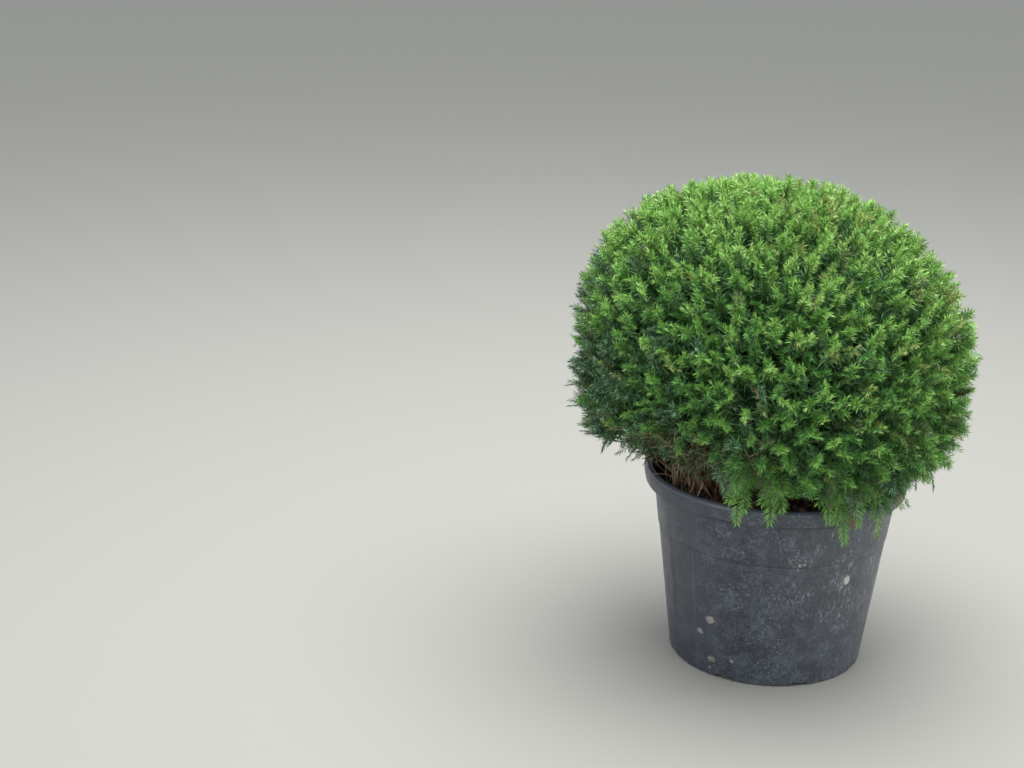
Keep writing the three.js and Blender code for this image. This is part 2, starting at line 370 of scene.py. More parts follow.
def potProfile():
    corner = pot["corner"]
    lip = pot["lip"]
    channel = pot["channelDepth"]
    floor = channel + pot["wall"]
    footRing = pot["footRadius"] - pot["footRingWidth"]
    roof = pot["height"] - pot["rollDepth"]
    rollFoot = roof - pot["rollFoot"]
    skirtInside = pot["skirtRadius"] - pot["skirtThickness"]
    grooveFrom, grooveFloor, grooveTo = (shoulder + step for step in pot["grooveSteps"])
    profile = [
        (pot["poleRadius"], 0), (pot["padRadius"] - corner, 0), (pot["padRadius"] + corner, channel),
        (2 * pot["padRadius"], channel), (footRing - corner, channel), (footRing + corner, 0),
    ]
    profile += [(pot["footRadius"] - inset, rise) for inset, rise in pot["footCorner"]]
    profile += wallRings([*pot["wallRings"], grooveFrom])
    profile += [(wallRadius(shoulder) - pot["grooveDepth"], grooveFloor)]
    profile += wallRings([grooveTo, *pot["bandRings"], roof])
    profile += [
        (skirtInside, roof), (skirtInside, skirtFoot + lip), (skirtInside + lip, skirtFoot),
        (pot["skirtRadius"] - lip, skirtFoot), (pot["skirtRadius"], skirtFoot + 1.5 * lip),
        (pot["rimRadius"] - lip, rollFoot),
    ]
    rollHalf = pot["rollWidth"] / 2
    for i in range(pot["rollSteps"] + 1):
        turn = math.pi * i / pot["rollSteps"]
        across = pot["rimRadius"] - rollHalf + math.cos(turn) * rollHalf
        profile.append((across, roof + math.sin(turn) * pot["rollDepth"]))
    cornerInset, cornerRise = pot["insideCorner"]
    profile += wallRings([rollFoot, *pot["insideRings"], floor + cornerRise], pot["wall"])
    profile += wallRings([floor], pot["wall"] + cornerInset)
    profile += [(pot["insideRadius"], floor), (pot["poleRadius"], floor)]
    return profile


# Extrudes a ring of edges from one [radius, height] point to the next and caps both ends.
def turnedPiece(name, profile, sides):
    bpy.ops.object.select_all(action="DESELECT")
    radius, height = profile[0]
    circle = {"vertices": sides, "radius": radius, "fill_type": "NGON"}
    bpy.ops.mesh.primitive_circle_add(location=(0, 0, height), **circle)
    piece = takeNew(name)
    applyPlace(piece)
    bpy.ops.object.mode_set(mode="EDIT")
    bpy.ops.mesh.select_all(action="SELECT")
    bpy.ops.mesh.delete(type="ONLY_FACE")
    bpy.ops.mesh.select_all(action="SELECT")
    bpy.ops.mesh.edge_face_add()
    bpy.ops.mesh.select_mode(type="EDGE")
    for nextRadius, nextHeight in profile[1:]:
        rise = nextHeight - height
        bpy.ops.mesh.extrude_edges_move(TRANSFORM_OT_translate={"value": (0, 0, rise)})
        grow = nextRadius / radius
        bpy.ops.transform.resize(value=(grow, grow, 1), center_override=(0, 0, nextHeight))
        radius, height = nextRadius, nextHeight
    bpy.ops.mesh.edge_face_add()
    bpy.ops.mesh.select_all(action="SELECT")
    bpy.ops.mesh.normals_make_consistent(inside=False)
    bpy.ops.object.mode_set(mode="OBJECT")
    return piece


def onCircle(turn, radius):
    return (math.cos(turn) * radius, math.sin(turn) * radius, 0)


def cutDrains(piece):
    cutters = []
    for i in range(pot["drains"]):
        turn = (i + 0.5) / pot["drains"] * 2 * math.pi
        bpy.ops.mesh.primitive_cylinder_add(location=onCircle(turn, pot["drainRing"]), **pot["drainHole"])
        cutters.append(bpy.context.object)
        notchPlace = onCircle(turn, pot["footRadius"])
        bpy.ops.mesh.primitive_cube_add(size=1, location=notchPlace, rotation=(0, 0, turn))
        notch = bpy.context.object
        notch.scale = (pot["notchLength"], pot["notchWidth"], 2 * (pot["channelDepth"] - pot["lip"]))
        cutters.append(notch)
    bpy.ops.object.select_all(action="DESELECT")
    for cutter in cutters:
        cutter.select_set(True)
    bpy.context.view_layer.objects.active = cutters[0]
    bpy.ops.object.join()
    cutter = bpy.context.object
    applyModifier(piece, "BOOLEAN", operation="DIFFERENCE", object=cutter, solver="EXACT")
    bpy.data.objects.remove(cutter)


potColours = {
    "charcoal": (0.027, 0.032, 0.045),
    "worn": (0.043, 0.051, 0.068),
    "dust_and_light": (0.080, 0.089, 0.098),
    # a greyer tone for the right side, partly dust and partly painted light
    "dust": (0.205, 0.235, 0.285),
    "fleck": (0.42, 0.44, 0.45),
    # a dark tone painted as shade in the creases
    "crease_shade": (0.014, 0.016, 0.020),
    # a paler tone painted on the rim's crest as a highlight
    "crest": (0.095, 0.108, 0.130),
}
dustAndLightShare = 0.75

# Patterns on the pot: the noise's scale, detail and roughness, the step over it, and the values at its ends
potPatterns = {
    "clouds": (9, 6, 0.65, 0.35, 0.68, 0.0, 1.0),
    "patches": (16, 4, 0.60, 0.40, 0.64, 0.0, 1.0),
    "haze": (26, 8, 0.80, 0.42, 0.66, 0.0, 0.29),
    "mottle": (185, 6, 0.80, 0.49, 0.67, 0.0, 0.88),
    "specks": (270, 2, 0.55, 0.65, 0.73, 0.0, 0.62),
    "scratches": (150, 5, 0.70, 0.53, 0.66, 0.0, 1.0),
    "roughness": (30, 4, 0.55, 0.30, 0.70, 0.34, 0.48),
}

# Where each mark shows: the span of its coordinate or pattern, and the strength at the two ends
potSpans = {
    "rightSide": (-0.06, 0.16, 0.0, 1.0),
    "offFoot": (0.03, 0.30, 0.35, 1.0),
    "offFarLeft": (-0.19, -0.03, 0.25, 1.0),
    "mottlePatches": (0.0, 1.0, 0.35, 1.0),
    "speckPatches": (0.2, 0.9, 0.25, 1.0),
    "scratchPatches": (0.0, 0.8, 0.25, 1.0),
    "scratchWear": (0.10, 0.95, 0.04, 0.85),
    "scratchTurn": (0.95, 1.45, 1.0, 0.35),
    "scratchHeight": (skirtFoot - 0.03, skirtFoot, 1.0, 0.12),
    "panelTop": (shoulder - 0.002, shoulder, 1.0, 0.0),
    "panelFoot": (0.06, 0.14, 0.0, 1.0),
    # how patchy the painted crease shade is over the clouds
    "creaseShadeClouds": (0.0, 0.9, 1.0, 0.25),
    # where the painted crest highlight shows
    "crestRadius": (pot["rimRadius"] - 0.012, pot["rimRadius"] - 0.007, 0.0, 1.0),
    "crestHeight": (pot["height"] - 0.008, pot["height"] - 0.003, 0.0, 0.6),
    "polishedCrest": (0.392, 0.401, 1.0, 0.6),
    "ribs": (0.368, 0.372, 0.0, 1.0),
    "splashMiddle": (0.3, 0.6, 0.95, 0.6),
}

# Fine form of the plastic: slanting scratches, upright ribs all round the skirt, and a shallow grain
potRelief = {
    "slant": (0.25, 0.55, 0),
    "slantStretch": (1, 1, 0.35),
    "ribs": 210,
    "ribHeight": 0.12,
    "grain": (45, 6, 0.7),
    "markHeight": 0.3,
    "strength": 0.35,
    "distance": 0.0012,
}

# Moulded panel edges, painted as light and shade: a dark line of painted shade, and paler lines of painted
# highlight beside it and further round. Turn from the front, half width in radians, and tone
paintedPanelLines = [
    {"turn": -59, "half": 0.030, "tone": (0.016, 0.018, 0.022)},
    {"turn": -64.5, "half": 0.034, "tone": (0.070, 0.078, 0.090)},
    {"turn": -41, "half": 0.010, "tone": (0.085, 0.092, 0.098)},
]
paintedPanelLine = {"core": 0.3, "strength": 0.8}

# Painted shade in the creases: a dark line just under the skirt's foot and one along the shoulder groove,
# patchy over the clouds
creases = [
    {"height": skirtFoot + 0.0015, "half": 0.003, "strength": 0.6},
    {"height": shoulder, "half": 0.0025, "strength": 0.35},
]
creaseCore = 0.4

# Dried splashes: turn from the front, height, width and how tall for its width, and tone
splashes = [
    {"turn": -30.4, "height": 0.130, "width": 0.022, "tall": 0.80, "tone": (0.36, 0.33, 0.30)},
    {"turn": -37.7, "height": 0.096, "width": 0.017, "tall": 0.78, "tone": (0.29, 0.28, 0.25)},
    {"turn": -30.3, "height": 0.039, "width": 0.018, "tall": 0.80, "tone": (0.32, 0.30, 0.26)},
    {"turn": -17.4, "height": 0.047, "width": 0.011, "tall": 0.90, "tone": (0.27, 0.29, 0.28)},
    {"turn": -29.8, "height": 0.0365, "width": 0.006, "tall": 1.00, "tone": (0.05, 0.05, 0.05)},
    {"turn": -31.6, "height": 0.018, "width": 0.008, "tall": 0.80, "tone": (0.22, 0.24, 0.25)},
    {"turn": 42.7, "height": 0.234, "width": 0.017, "tall": 1.30, "tone": (0.74, 0.72, 0.68)},
    {"turn": 14.8, "height": 0.281, "width": 0.009, "tall": 1.00, "tone": (0.34, 0.35, 0.34)},
    {"turn": 17.0, "height": 0.284, "width": 0.006, "tall": 1.00, "tone": (0.34, 0.35, 0.36)},
]
splashEdge = {"rags": 0.8, "inner": 0.65, "outer": 1.1, "noise": (330, 3, 0.6)}


def pattern(material, place, name):
    return patchy(material, place, *potPatterns[name])


def span(material, value, name):
    return stepped(material, value, *potSpans[name])


# Strongest along a line, and gone at half its width.
def nearLine(material, value, line, half, core, strength):
    away = calculate(material, "ABSOLUTE", calculate(material, "SUBTRACT", value, line))
    return stepped(material, away, half * core, half, strength, 0.0)


# Covers an oval on the wall, with a ragged rim and a mottled middle.
def coverSplash(material, place, ragged, splash):
    centre = atTurn(splash["turn"], wallRadius(splash["height"]), splash["height"])
    away = combineVectors(material, "SUBTRACT", place, tuple(centre))[0]
    away = combineVectors(material, "MULTIPLY", away, (1, 1, 1 / splash["tall"]))[0]
    away = combineVectors(material, "LENGTH", away)["Value"]
    rags = calculate(material, "SUBTRACT", ragged, 0.5)
    rags = multiply(material, rags, splash["width"] * splashEdge["rags"])
    away = calculate(material, "ADD", away, rags)
    half = splash["width"] / 2
    inside = stepped(material, away, half * splashEdge["inner"], half * splashEdge["outer"], 1.0, 0.0)
    return multiply(material, inside, span(material, ragged, "splashMiddle"))


def potPlaces(material):
    place = objectPlace(material)
    across, depth, height = addNode(material, "ShaderNodeSeparateXYZ", {"Vector": place}).outputs
    slant = {"Vector": place, "Rotation": potRelief["slant"], "Scale": potRelief["slantStretch"]}
    squares = [multiply(material, value, value) for value in (across, depth)]
    return {
        "place": place,
        "across": across,
        "height": height,
        "slanted": addNode(material, "ShaderNodeMapping", slant).outputs["Vector"],
        "turn": calculate(material, "ARCTAN2", across, multiply(material, depth, -1.0)),
        "radius": calculate(material, "SQRT", calculate(material, "ADD", *squares)),
    }


# The plastic's colour, its clouds, and how far pale specks and scratches cover it.
def wornPlastic(material, at):
    worn = span(material, at["across"], "rightSide")
    worn = multiply(material, worn, span(material, at["height"], "offFoot"))
    offLeft = span(material, at["across"], "offFarLeft")
    clouds = pattern(material, at["place"], "clouds")
    patches = pattern(material, at["place"], "patches")
    haze = multiply(material, pattern(material, at["place"], "haze"), offLeft)
    mottle = multiply(material, pattern(material, at["place"], "mottle"),
                      span(material, patches, "mottlePatches"), offLeft)
    specks = multiply(material, pattern(material, at["place"], "specks"),
                      span(material, patches, "speckPatches"))
    scratches = multiply(material, pattern(material, at["slanted"], "scratches"),
                         span(material, worn, "scratchWear"), span(material, at["turn"], "scratchTurn"),
                         span(material, at["height"], "scratchHeight"),
                         span(material, patches, "scratchPatches"))
    pale = calculate(material, "MAXIMUM", specks, scratches)
    # The right side is greyer, partly from dust and partly from painted light, as if that side were lit more.
    dust_and_light = multiply(material, worn, dustAndLightShare)
    colour = blendColours(material, clouds, potColours["charcoal"], potColours["worn"])
    layers = ((dust_and_light, "dust_and_light"), (haze, "dust"), (mottle, "dust"), (pale, "fleck"))
    for amount, name in layers:
        colour = blendColours(material, amount, colour, potColours[name])
    return colour, clouds, pale


def addMarks(material, at, colour, clouds):
    panel = span(material, at["height"], "panelTop")
    panel = multiply(material, panel, span(material, at["height"], "panelFoot"))
    # Painted shade and highlight in lines along the panel edges.
    for edge in paintedPanelLines:
        near = nearLine(material, at["turn"], math.radians(edge["turn"]), edge["half"], **paintedPanelLine)
        colour = blendColours(material, multiply(material, near, panel), colour, edge["tone"])
    # Painted shade along the creases.
    for crease in creases:
        near = nearLine(material, at["height"], crease["height"], crease["half"], creaseCore,
                        crease["strength"])
        crease_shade = multiply(material, near, span(material, clouds, "creaseShadeClouds"))
        colour = blendColours(material, crease_shade, colour, potColours["crease_shade"])
    # A painted highlight: the rim's crest is made paler, as if it caught the sky.
    crest = multiply(material, span(material, at["radius"], "crestRadius"),
                     span(material, at["height"], "crestHeight"))
    colour = blendColours(material, crest, colour, potColours["crest"])
    ragged = noise(material, at["place"], *splashEdge["noise"])
    for splash in splashes:
        cover = coverSplash(material, at["place"], ragged, splash)
        colour = blendColours(material, cover, colour, splash["tone"])
    return colour


def makePotMaterial():
    material, shader = newMaterial("nursery_plastic")
    at = potPlaces(material)
    colour, clouds, pale = wornPlastic(material, at)
    join(material, addMarks(material, at, colour, clouds), shader.inputs["Base Color"])
    roughness = calculate(material, "MAXIMUM", pattern(material, at["place"], "roughness"), pale)
    roughness = multiply(material, roughness, span(material, at["height"], "polishedCrest"))
    join(material, roughness, shader.inputs["Roughness"])
    ribs = calculate(material, "SINE", multiply(material, at["turn"], potRelief["ribs"]))
    ribs = multiply(material, ribs, span(material, at["height"], "ribs"), potRelief["ribHeight"])
    relief = calculate(material, "ADD", ribs, noise(material, at["place"], *potRelief["grain"]))
    relief = calculate(material, "ADD", relief, multiply(material, pale, potRelief["markHeight"]))
    normal = bump(material, relief, potRelief["strength"], potRelief["distance"])
    join(material, normal, shader.inputs["Normal"])
    return material


def makePot():
    piece = turnedPiece("pot_moulding", potProfile(), pot["sides"])
    cutDrains(piece)
    smoothBy(piece, pot["smoothAngle"])
    hand(piece, makePotMaterial(), "pot_plastic", "pot")


makePot()
print("pot ready")


# Compost: turned rings with a rough top, stones, chips and crumbs on it

compost = {
    "sides": 120,
    "radius": 0.2415,
    "floor": 0.0155,
    "floorInset": 0.005,
    "poleRadius": 0.02,
    "narrowFrom": 0.30,
    "narrowBy": 0.004,
    "edge": 0.353,
    "edgeRadius": 0.228,
    "edgeDrop": 0.003,
    "top": 0.365,
    "topRadius": 0.170,
    "topRise": 0.002,
    "moundTop": 0.373,
    "moundRadius": 0.075,
    "ringRadii": (0.236, 0.004, -0.005),
    "lumps": ((0.035, 0.009), (0.009, 0.005)),
    "roughFrom": 0.001,
    "dropHeight": 0.5,
    "smoothAngle": 60,
    "colours": ((0.034, 0.024, 0.016), (0.120, 0.080, 0.050)),
    "roughness": 0.95,
    "mottle": (130, 5, 0.55, 0.35, 0.68),
    "grain": (300, 5),
    "grainBump": (0.8, 0.003),
}

# What lies on the compost: how many, between which radii, how uneven, and how long, wide and thick. Crumbs
# have one size, stretched each way. A finish is a name, two tones, the speckles' scale and the roughness.
litter = {
    "pale_stones": {
        "shape": "pebble", "count": 230, "ring": (0.05, 0.232), "uneven": 0.05, "smooth": 60,
        "size": ((0.010, 0.021), (0.008, 0.015), (0.006, 0.010)),
        "finish": ("dull_stone", (0.12, 0.095, 0.07), (0.30, 0.25, 0.19), 60, 0.8),
    },
    "bark_chips": {
        "shape": "chip", "count": 520, "ring": (0.045, 0.235), "uneven": 0.25,
        "size": ((0.010, 0.028), (0.003, 0.008), (0.001, 0.003)),
        "finish": ("chip_brown", (0.07, 0.035, 0.02), (0.20, 0.11, 0.06), 90, 0.9),
    },
    "compost_crumbs": {
        "shape": "crumb", "count": 1300, "ring": (0.04, 0.237), "uneven": 0.2,
        "size": (0.003, 0.009), "stretch": (0.7, 1.2),
        "finish": ("crumb_brown", (0.028, 0.019, 0.013), (0.10, 0.062, 0.038), 110, 0.95),
    },
}


def soilHeight(radius):
    radii = [0, compost["moundRadius"], compost["topRadius"], compost["edgeRadius"], compost["radius"]]
    heights = [compost["moundTop"], compost["moundTop"], compost["top"] + compost["topRise"],
               compost["top"] - compost["edgeDrop"], compost["edge"]]
    return np.interp(radius, radii, heights)


def makeSoilMaterial():
    material, shader = newMaterial("dark_compost", Roughness=compost["roughness"])
    place = objectPlace(material)
    mottled = patchy(material, place, *compost["mottle"])
    join(material, blendColours(material, mottled, *compost["colours"]), shader.inputs["Base Color"])
    grain = noise(material, place, *compost["grain"])
    join(material, bump(material, grain, *compost["grainBump"]), shader.inputs["Normal"])
    return material


def makeSoil():
    outer = compost["radius"]
    foot = wallRadius(compost["floor"]) - pot["wall"] - compost["floorInset"]
    profile = [(compost["poleRadius"], compost["floor"]), (foot, compost["floor"]),
               (outer - compost["narrowBy"], compost["narrowFrom"]), (outer, compost["edge"])]
    profile += [(radius, float(soilHeight(radius))) for radius in np.arange(*compost["ringRadii"])]
    piece = turnedPiece("compost_fill", profile, compost["sides"])
    group = piece.vertex_groups.new(name="top")
    lowest = compost["edge"] + compost["roughFrom"]
    group.add([v.index for v in piece.data.vertices if v.co.z > lowest], 1.0, "REPLACE")
    for size, strength in compost["lumps"]:
        texture = bpy.data.textures.new("lumps", "CLOUDS")
        texture.noise_scale = size
        texture.noise_depth = 3
        applyModifier(piece, "DISPLACE", texture=texture, strength=strength, mid_level=0.5,
                      vertex_group="top", texture_coords="LOCAL")
    smoothBy(piece, compost["smoothAngle"])
    hand(piece, makeSoilMaterial(), "compost", "compost")
    return piece


def shapeArrays(piece):
    mesh = piece.data
    points = np.array([v.co[:] for v in mesh.vertices])
    faces = np.array([p.vertices[:] for p in mesh.polygons])
    bpy.data.objects.remove(piece)
    return points, faces


def litterShapes():
    bpy.ops.object.select_all(action="DESELECT")
    shapes = {}
    for name, subdivisions in (("pebble", 2), ("crumb", 1)):
        bpy.ops.mesh.primitive_ico_sphere_add(subdivisions=subdivisions, radius=0.5)
        shapes[name] = shapeArrays(bpy.context.object)
    bpy.ops.mesh.primitive_cube_add(size=1)
    bpy.ops.object.mode_set(mode="EDIT")
    bpy.ops.mesh.subdivide(number_cuts=1)
    bpy.ops.object.mode_set(mode="OBJECT")
    shapes["chip"] = shapeArrays(bpy.context.object)
    return shapes


# Points spread evenly over a ring, well above the compost.
def scattered(count, inner, outer):
    radius = np.sqrt(between(inner ** 2, outer ** 2, count))
    turn = between(0, 360, count)
    return atTurn(turn, radius, compost["dropHeight"])


# Drops each point on the compost along -Z.
def settle(points, tree):
    hits = [tree.ray_cast(Vector(point), Vector((0, 0, -1)))[0] for point in points]
    points[:, 2] = [hit.z if hit else compost["top"] for hit in hits]
    return points


def litterSizes(kind):
    count = kind["count"]
    if "stretch" in kind:
        return column(between(*kind["size"], count)) * between(*kind["stretch"], (count, 3))
    return np.stack([between(*limits, count) for limits in kind["size"]], axis=1)


# Copies of one small shape, each turned, stretched and made uneven.
def strewn(name, shape, places, sizes, uneven):
    points, faces = shape
    count = len(places)
    forward = unit(jitter(count, 1))
    aside = squareTo(jitter(count, 1), forward)
    third = np.cross(forward, aside)
    local = points[None] * sizes[:, None, :] * (1 + random.uniform(-uneven, uneven, (count, len(points), 1)))
    axes = np.stack((forward, aside, third), axis=1)
    placed = np.einsum("nvk,nkj->nvj", local, axes) + places[:, None]
    return pieceFromArrays(name, placed.reshape(-1, 3), repeatFaces(faces, count, len(points)))


def makeLitter(soil):
    tree = BVHTree.FromObject(soil, bpy.context.evaluated_depsgraph_get())
    shapes = litterShapes()
    for name, kind in litter.items():
        places = settle(scattered(kind["count"], *kind["ring"]), tree)
        piece = strewn(name, shapes[kind["shape"]], places, litterSizes(kind), kind["uneven"])
        if "smooth" in kind:
            smoothBy(piece, kind["smooth"])
        hand(piece, plainSpeckled(*kind["finish"]), "compost")


soil = makeSoil()
makeLitter(soil)
print("compost ready")


# Wood: smooth paths through the same points as the source, and tubes along them

fineSteps = 24


# A curve through the points, cut into equal steps.
def smoothPath(points, steps):
    points = np.asarray(points, float)
    before = 2 * points[0] - points[1]
    after = 2 * points[-1] - points[-2]
    knots = np.vstack((before, points, after))
    fine = []
    for i in range(len(points) - 1):
        p0, p1, p2, p3 = knots[i:i + 4]
        d0, d1, d2 = (max(np.linalg.norm(b - a) ** 0.5, 1e-6) for a, b in ((p0, p1), (p1, p2), (p2, p3)))
        leave = ((p1 - p0) / d0 - (p2 - p0) / (d0 + d1) + (p2 - p1) / d1) * d1
        arrive = ((p2 - p1) / d1 - (p3 - p1) / (d1 + d2) + (p3 - p2) / d2) * d1
        t = column(np.linspace(0, 1, fineSteps, endpoint=(i == len(points) - 2)))
        fine.append(p1 + leave * t + (3 * (p2 - p1) - 2 * leave - arrive) * t ** 2
                    + (2 * (p1 - p2) + leave + arrive) * t ** 3)
    fine = np.vstack(fine)
    run = np.concatenate(([0], np.cumsum(np.linalg.norm(np.diff(fine, axis=0), axis=1))))
    wanted = np.linspace(0, run[-1], steps + 1)
    return np.stack([np.interp(wanted, run, fine[:, k]) for k in range(3)], axis=1)


# Tubes of round section along paths of the same number of points, closed at both ends.
def tubes(paths, radii, sides):
    count, rings, _ = paths.shape
    along = unit(np.gradient(paths, axis=1))
    mean = unit(along.mean(axis=1))
    reference = np.eye(3)[np.argmin(np.abs(mean), axis=1)][:, None]
    aside = unit(np.cross(along, reference))
    third = np.cross(aside, along)
    turn = np.arange(sides) / sides * 2 * np.pi
    spokes = aside[:, :, None] * np.cos(turn)[:, None] + third[:, :, None] * np.sin(turn)[:, None]
    shell = paths[:, :, None] + spokes * radii[:, :, None, None]
    points = np.concatenate((shell.reshape(count, -1, 3), paths[:, :1], paths[:, -1:]), axis=1)
    here = np.arange(sides)
    there = (here + 1) % sides
    rows = (np.arange(rings - 1) * sides)[:, None]
    first = np.stack((rows + here, rows + sides + there, rows + there), axis=-1).reshape(-1, 3)
    second = np.stack((rows + here, rows + sides + here, rows + sides + there), axis=-1).reshape(-1, 3)
    last = (rings - 1) * sides
    foot = np.stack((here, there, np.full(sides, rings * sides)), axis=1)
    head = np.stack((last + there, last + here, np.full(sides, rings * sides + 1)), axis=1)
    faces = np.concatenate((first, second, foot, head))
    return points.reshape(-1, 3), repeatFaces(faces, count, points.shape[1])


# Radii for each ring, spread evenly from the first to the last.
def taper(radii, rings):
    return np.interp(np.linspace(0, 1, rings), np.linspace(0, 1, len(radii)), radii)


trunk = {
    "foot": np.array((-0.024, 0.006, 0.37335)),
    "start": (0.001, 0, -0.002),
    "bend": (-0.002, -0.003, 0.055),
    "top": (-0.034, 0, 0.530),
    "radii": [0.038, 0.027, 0.023, 0.021, 0.020, 0.019, 0.018],
    "mesh": {"sides": 64, "steps": 70, "relief": 0.006},
}

boughs = {
    "count": 10,
    "rootOffset": 0.008,
    "forkHeight": 0.034,
    "forkStep": 0.013,
    "swing": (-8, 10),
    "elbowTurn": 6,
    "elbowRadius": 0.090,
    "elbowRise": 0.034,
    "elbowStep": 0.014,
    "headTurn": 2,
    "headRadius": 0.190,
    "headStep": 0.018,
    "headHeight": 0.570,
    "radius": 0.010,
    "radiusStep": 0.0015,
    "taper": np.array((1.0, 0.8, 0.6)),
    "mesh": {"sides": 20, "steps": 70, "relief": 0.0028},
}

sideStems = [
    {"foot": (-0.112, -0.096), "head": (-0.232, -0.150), "radius": 0.0055},
    {"foot": (-0.124, -0.074), "head": (-0.262, -0.084), "radius": 0.005},
    {"foot": (-0.098, -0.112), "head": (-0.176, -0.212), "radius": 0.005},
    {"foot": (-0.084, -0.124), "head": (-0.096, -0.240), "radius": 0.0045},
    {"foot": (-0.118, -0.042), "head": (-0.268, -0.014), "radius": 0.006},
    {"foot": (0.066, -0.096), "head": (0.120, -0.226), "radius": 0.0055},
    {"foot": (0.096, 0.060), "head": (0.214, 0.140), "radius": 0.006},
    {"foot": (-0.060, 0.104), "head": (-0.130, 0.228), "radius": 0.0055},
]
sideStem = {
    "sunk": 0.002,
    "bendShare": 0.45,
    "bendRise": 0.014,
    "taper": np.array((1.0, 0.85, 0.7)),
    "mesh": {"sides": 12, "steps": 56, "relief": 0.0014},
}

# Bark by kind: its dark and light flakes, and the tone where it has peeled
barkTones = {
    "flaking_bark": ((0.075, 0.047, 0.034), (0.20, 0.135, 0.10), (0.23, 0.085, 0.045)),
    "shaded_bark": ((0.030, 0.024, 0.018), (0.075, 0.058, 0.044), (0.07, 0.04, 0.03)),
    "olive_bark": ((0.055, 0.050, 0.026), (0.13, 0.11, 0.055), (0.16, 0.085, 0.045)),
    # pale_lit_twig: lighter than such bark is, painted light for the twigs in the crown's shade
    "pale_lit_twig": ((0.23, 0.175, 0.11), (0.54, 0.43, 0.28), (0.38, 0.22, 0.13)),
    "young_bark": ((0.12, 0.055, 0.032), (0.30, 0.16, 0.09), (0.34, 0.13, 0.06)),
}
bark = {
    "stretch": (1, 1, 0.3),
    "roughness": 0.82,
    "flakes": (90, 5, 0.55, 0.35, 0.65),
    "peeled": (35, 3, 0.55, 0.55, 0.68),
    "grain": (240, 5),
    "grainBump": (0.5, 0.001),
    "plates": (("CLOUDS", 0.012, 1.0), ("VORONOI", 0.006, 0.5)),
    "plateStretch": (1, 1, 4),
    "smoothAngle": 50,
}


def trunkPath():
    return [trunk["foot"] + trunk["start"], trunk["foot"] + trunk["bend"], np.array(trunk["top"])]


def boughPath(index):
    third = index % 3
    odd = index % 2
    turn = index / boughs["count"] * 360 + boughs["swing"][odd]
    fork = trunk["foot"] + (0, 0, boughs["forkHeight"] + third * boughs["forkStep"])
    root = fork + atTurn(turn, boughs["rootOffset"], 0)
    elbow = fork + atTurn(turn + boughs["elbowTurn"], boughs["elbowRadius"] + third * boughs["elbowStep"],
                          boughs["elbowRise"] + odd * boughs["elbowStep"])
    headRadius = boughs["headRadius"] + third * boughs["headStep"]
    end = atTurn(turn + boughs["headTurn"], headRadius, boughs["headHeight"])
    return [root, elbow, end]


def sideStemPath(stem):
    start = np.array((*stem["foot"], compost["top"] - sideStem["sunk"]))
    end = np.array((*stem["head"], boughs["headHeight"]))
    middle = start + (end - start) * sideStem["bendShare"] + (0, 0, sideStem["bendRise"])
    return [start, middle, end]


def makeBarkMaterial(name):
    dark, light, peeledTone = barkTones[name]
    material, shader = newMaterial(name, Roughness=bark["roughness"])
    place = objectPlace(material, bark["stretch"])
    colour = blendColours(material, patchy(material, place, *bark["flakes"]), dark, light)
    colour = blendColours(material, patchy(material, place, *bark["peeled"]), colour, peeledTone)
    join(material, colour, shader.inputs["Base Color"])
    grain = noise(material, place, *bark["grain"])
    join(material, bump(material, grain, *bark["grainBump"]), shader.inputs["Normal"])
    return material


barks = {name: makeBarkMaterial(name) for name in barkTones}

# Stretches the bark's plates along +Z while they are pressed into the limbs
barkGrain = bpy.data.objects.new("bark_grain", None)
barkGrain.scale = bark["plateStretch"]
bpy.context.scene.collection.objects.link(barkGrain)


# A limb with flaky relief: long plates and finer cracks over them.
def makeLimb(node, points, radii, material, sides, steps, relief):
    path = smoothPath(points, steps)
    radius = taper(radii, steps + 1)
    piece = pieceFromArrays(f"{node}_bark", *tubes(path[None], radius[None], sides))
    for kind, size, share in bark["plates"]:
        texture = bpy.data.textures.new("flakes", kind)
        texture.noise_scale = size
        applyModifier(piece, "DISPLACE", texture=texture, strength=relief * share, mid_level=0.5,
                      texture_coords="OBJECT", texture_coords_object=barkGrain)
    smoothBy(piece, bark["smoothAngle"])
    hand(piece, material, "bark", node)
    return path


def makeWood():
    paths = [makeLimb("trunk", trunkPath(), trunk["radii"], barks["flaking_bark"], **trunk["mesh"])]
    for index in range(boughs["count"]):
        radii = (boughs["radius"] + (index % 3) * boughs["radiusStep"]) * boughs["taper"]
        paths.append(makeLimb(f"bough_{index + 1}", boughPath(index), radii, barks["flaking_bark"],
                              **boughs["mesh"]))
    for index, stem in enumerate(sideStems):
        radii = stem["radius"] * sideStem["taper"]
        paths.append(makeLimb(f"side_stem_{index + 1}", sideStemPath(stem), radii, barks["young_bark"],
                              **sideStem["mesh"]))
    bpy.data.objects.remove(barkGrain)
    return paths


limbPaths = makeWood()
print("trunk, boughs and side stems ready")


# The crown's outline, by the source's rule: how far the tips reach in a direction, less an inset

crown = {
    "middle": np.array((-0.030, 0.0, 0.645)),
    "girth": 0.400,
    "rise": 0.344,
    "sag": 0.304,
    "underside": 0.442,
    "undersideLift": 0.042,
    "liftTowards": (-0.77, -0.64),
    "lean": -0.08,
    "upperRoundness": 2.27,
    "lowerRoundness": 3.0,
    "trimSharpness": 9.0,
    "swell": 0.014,
}


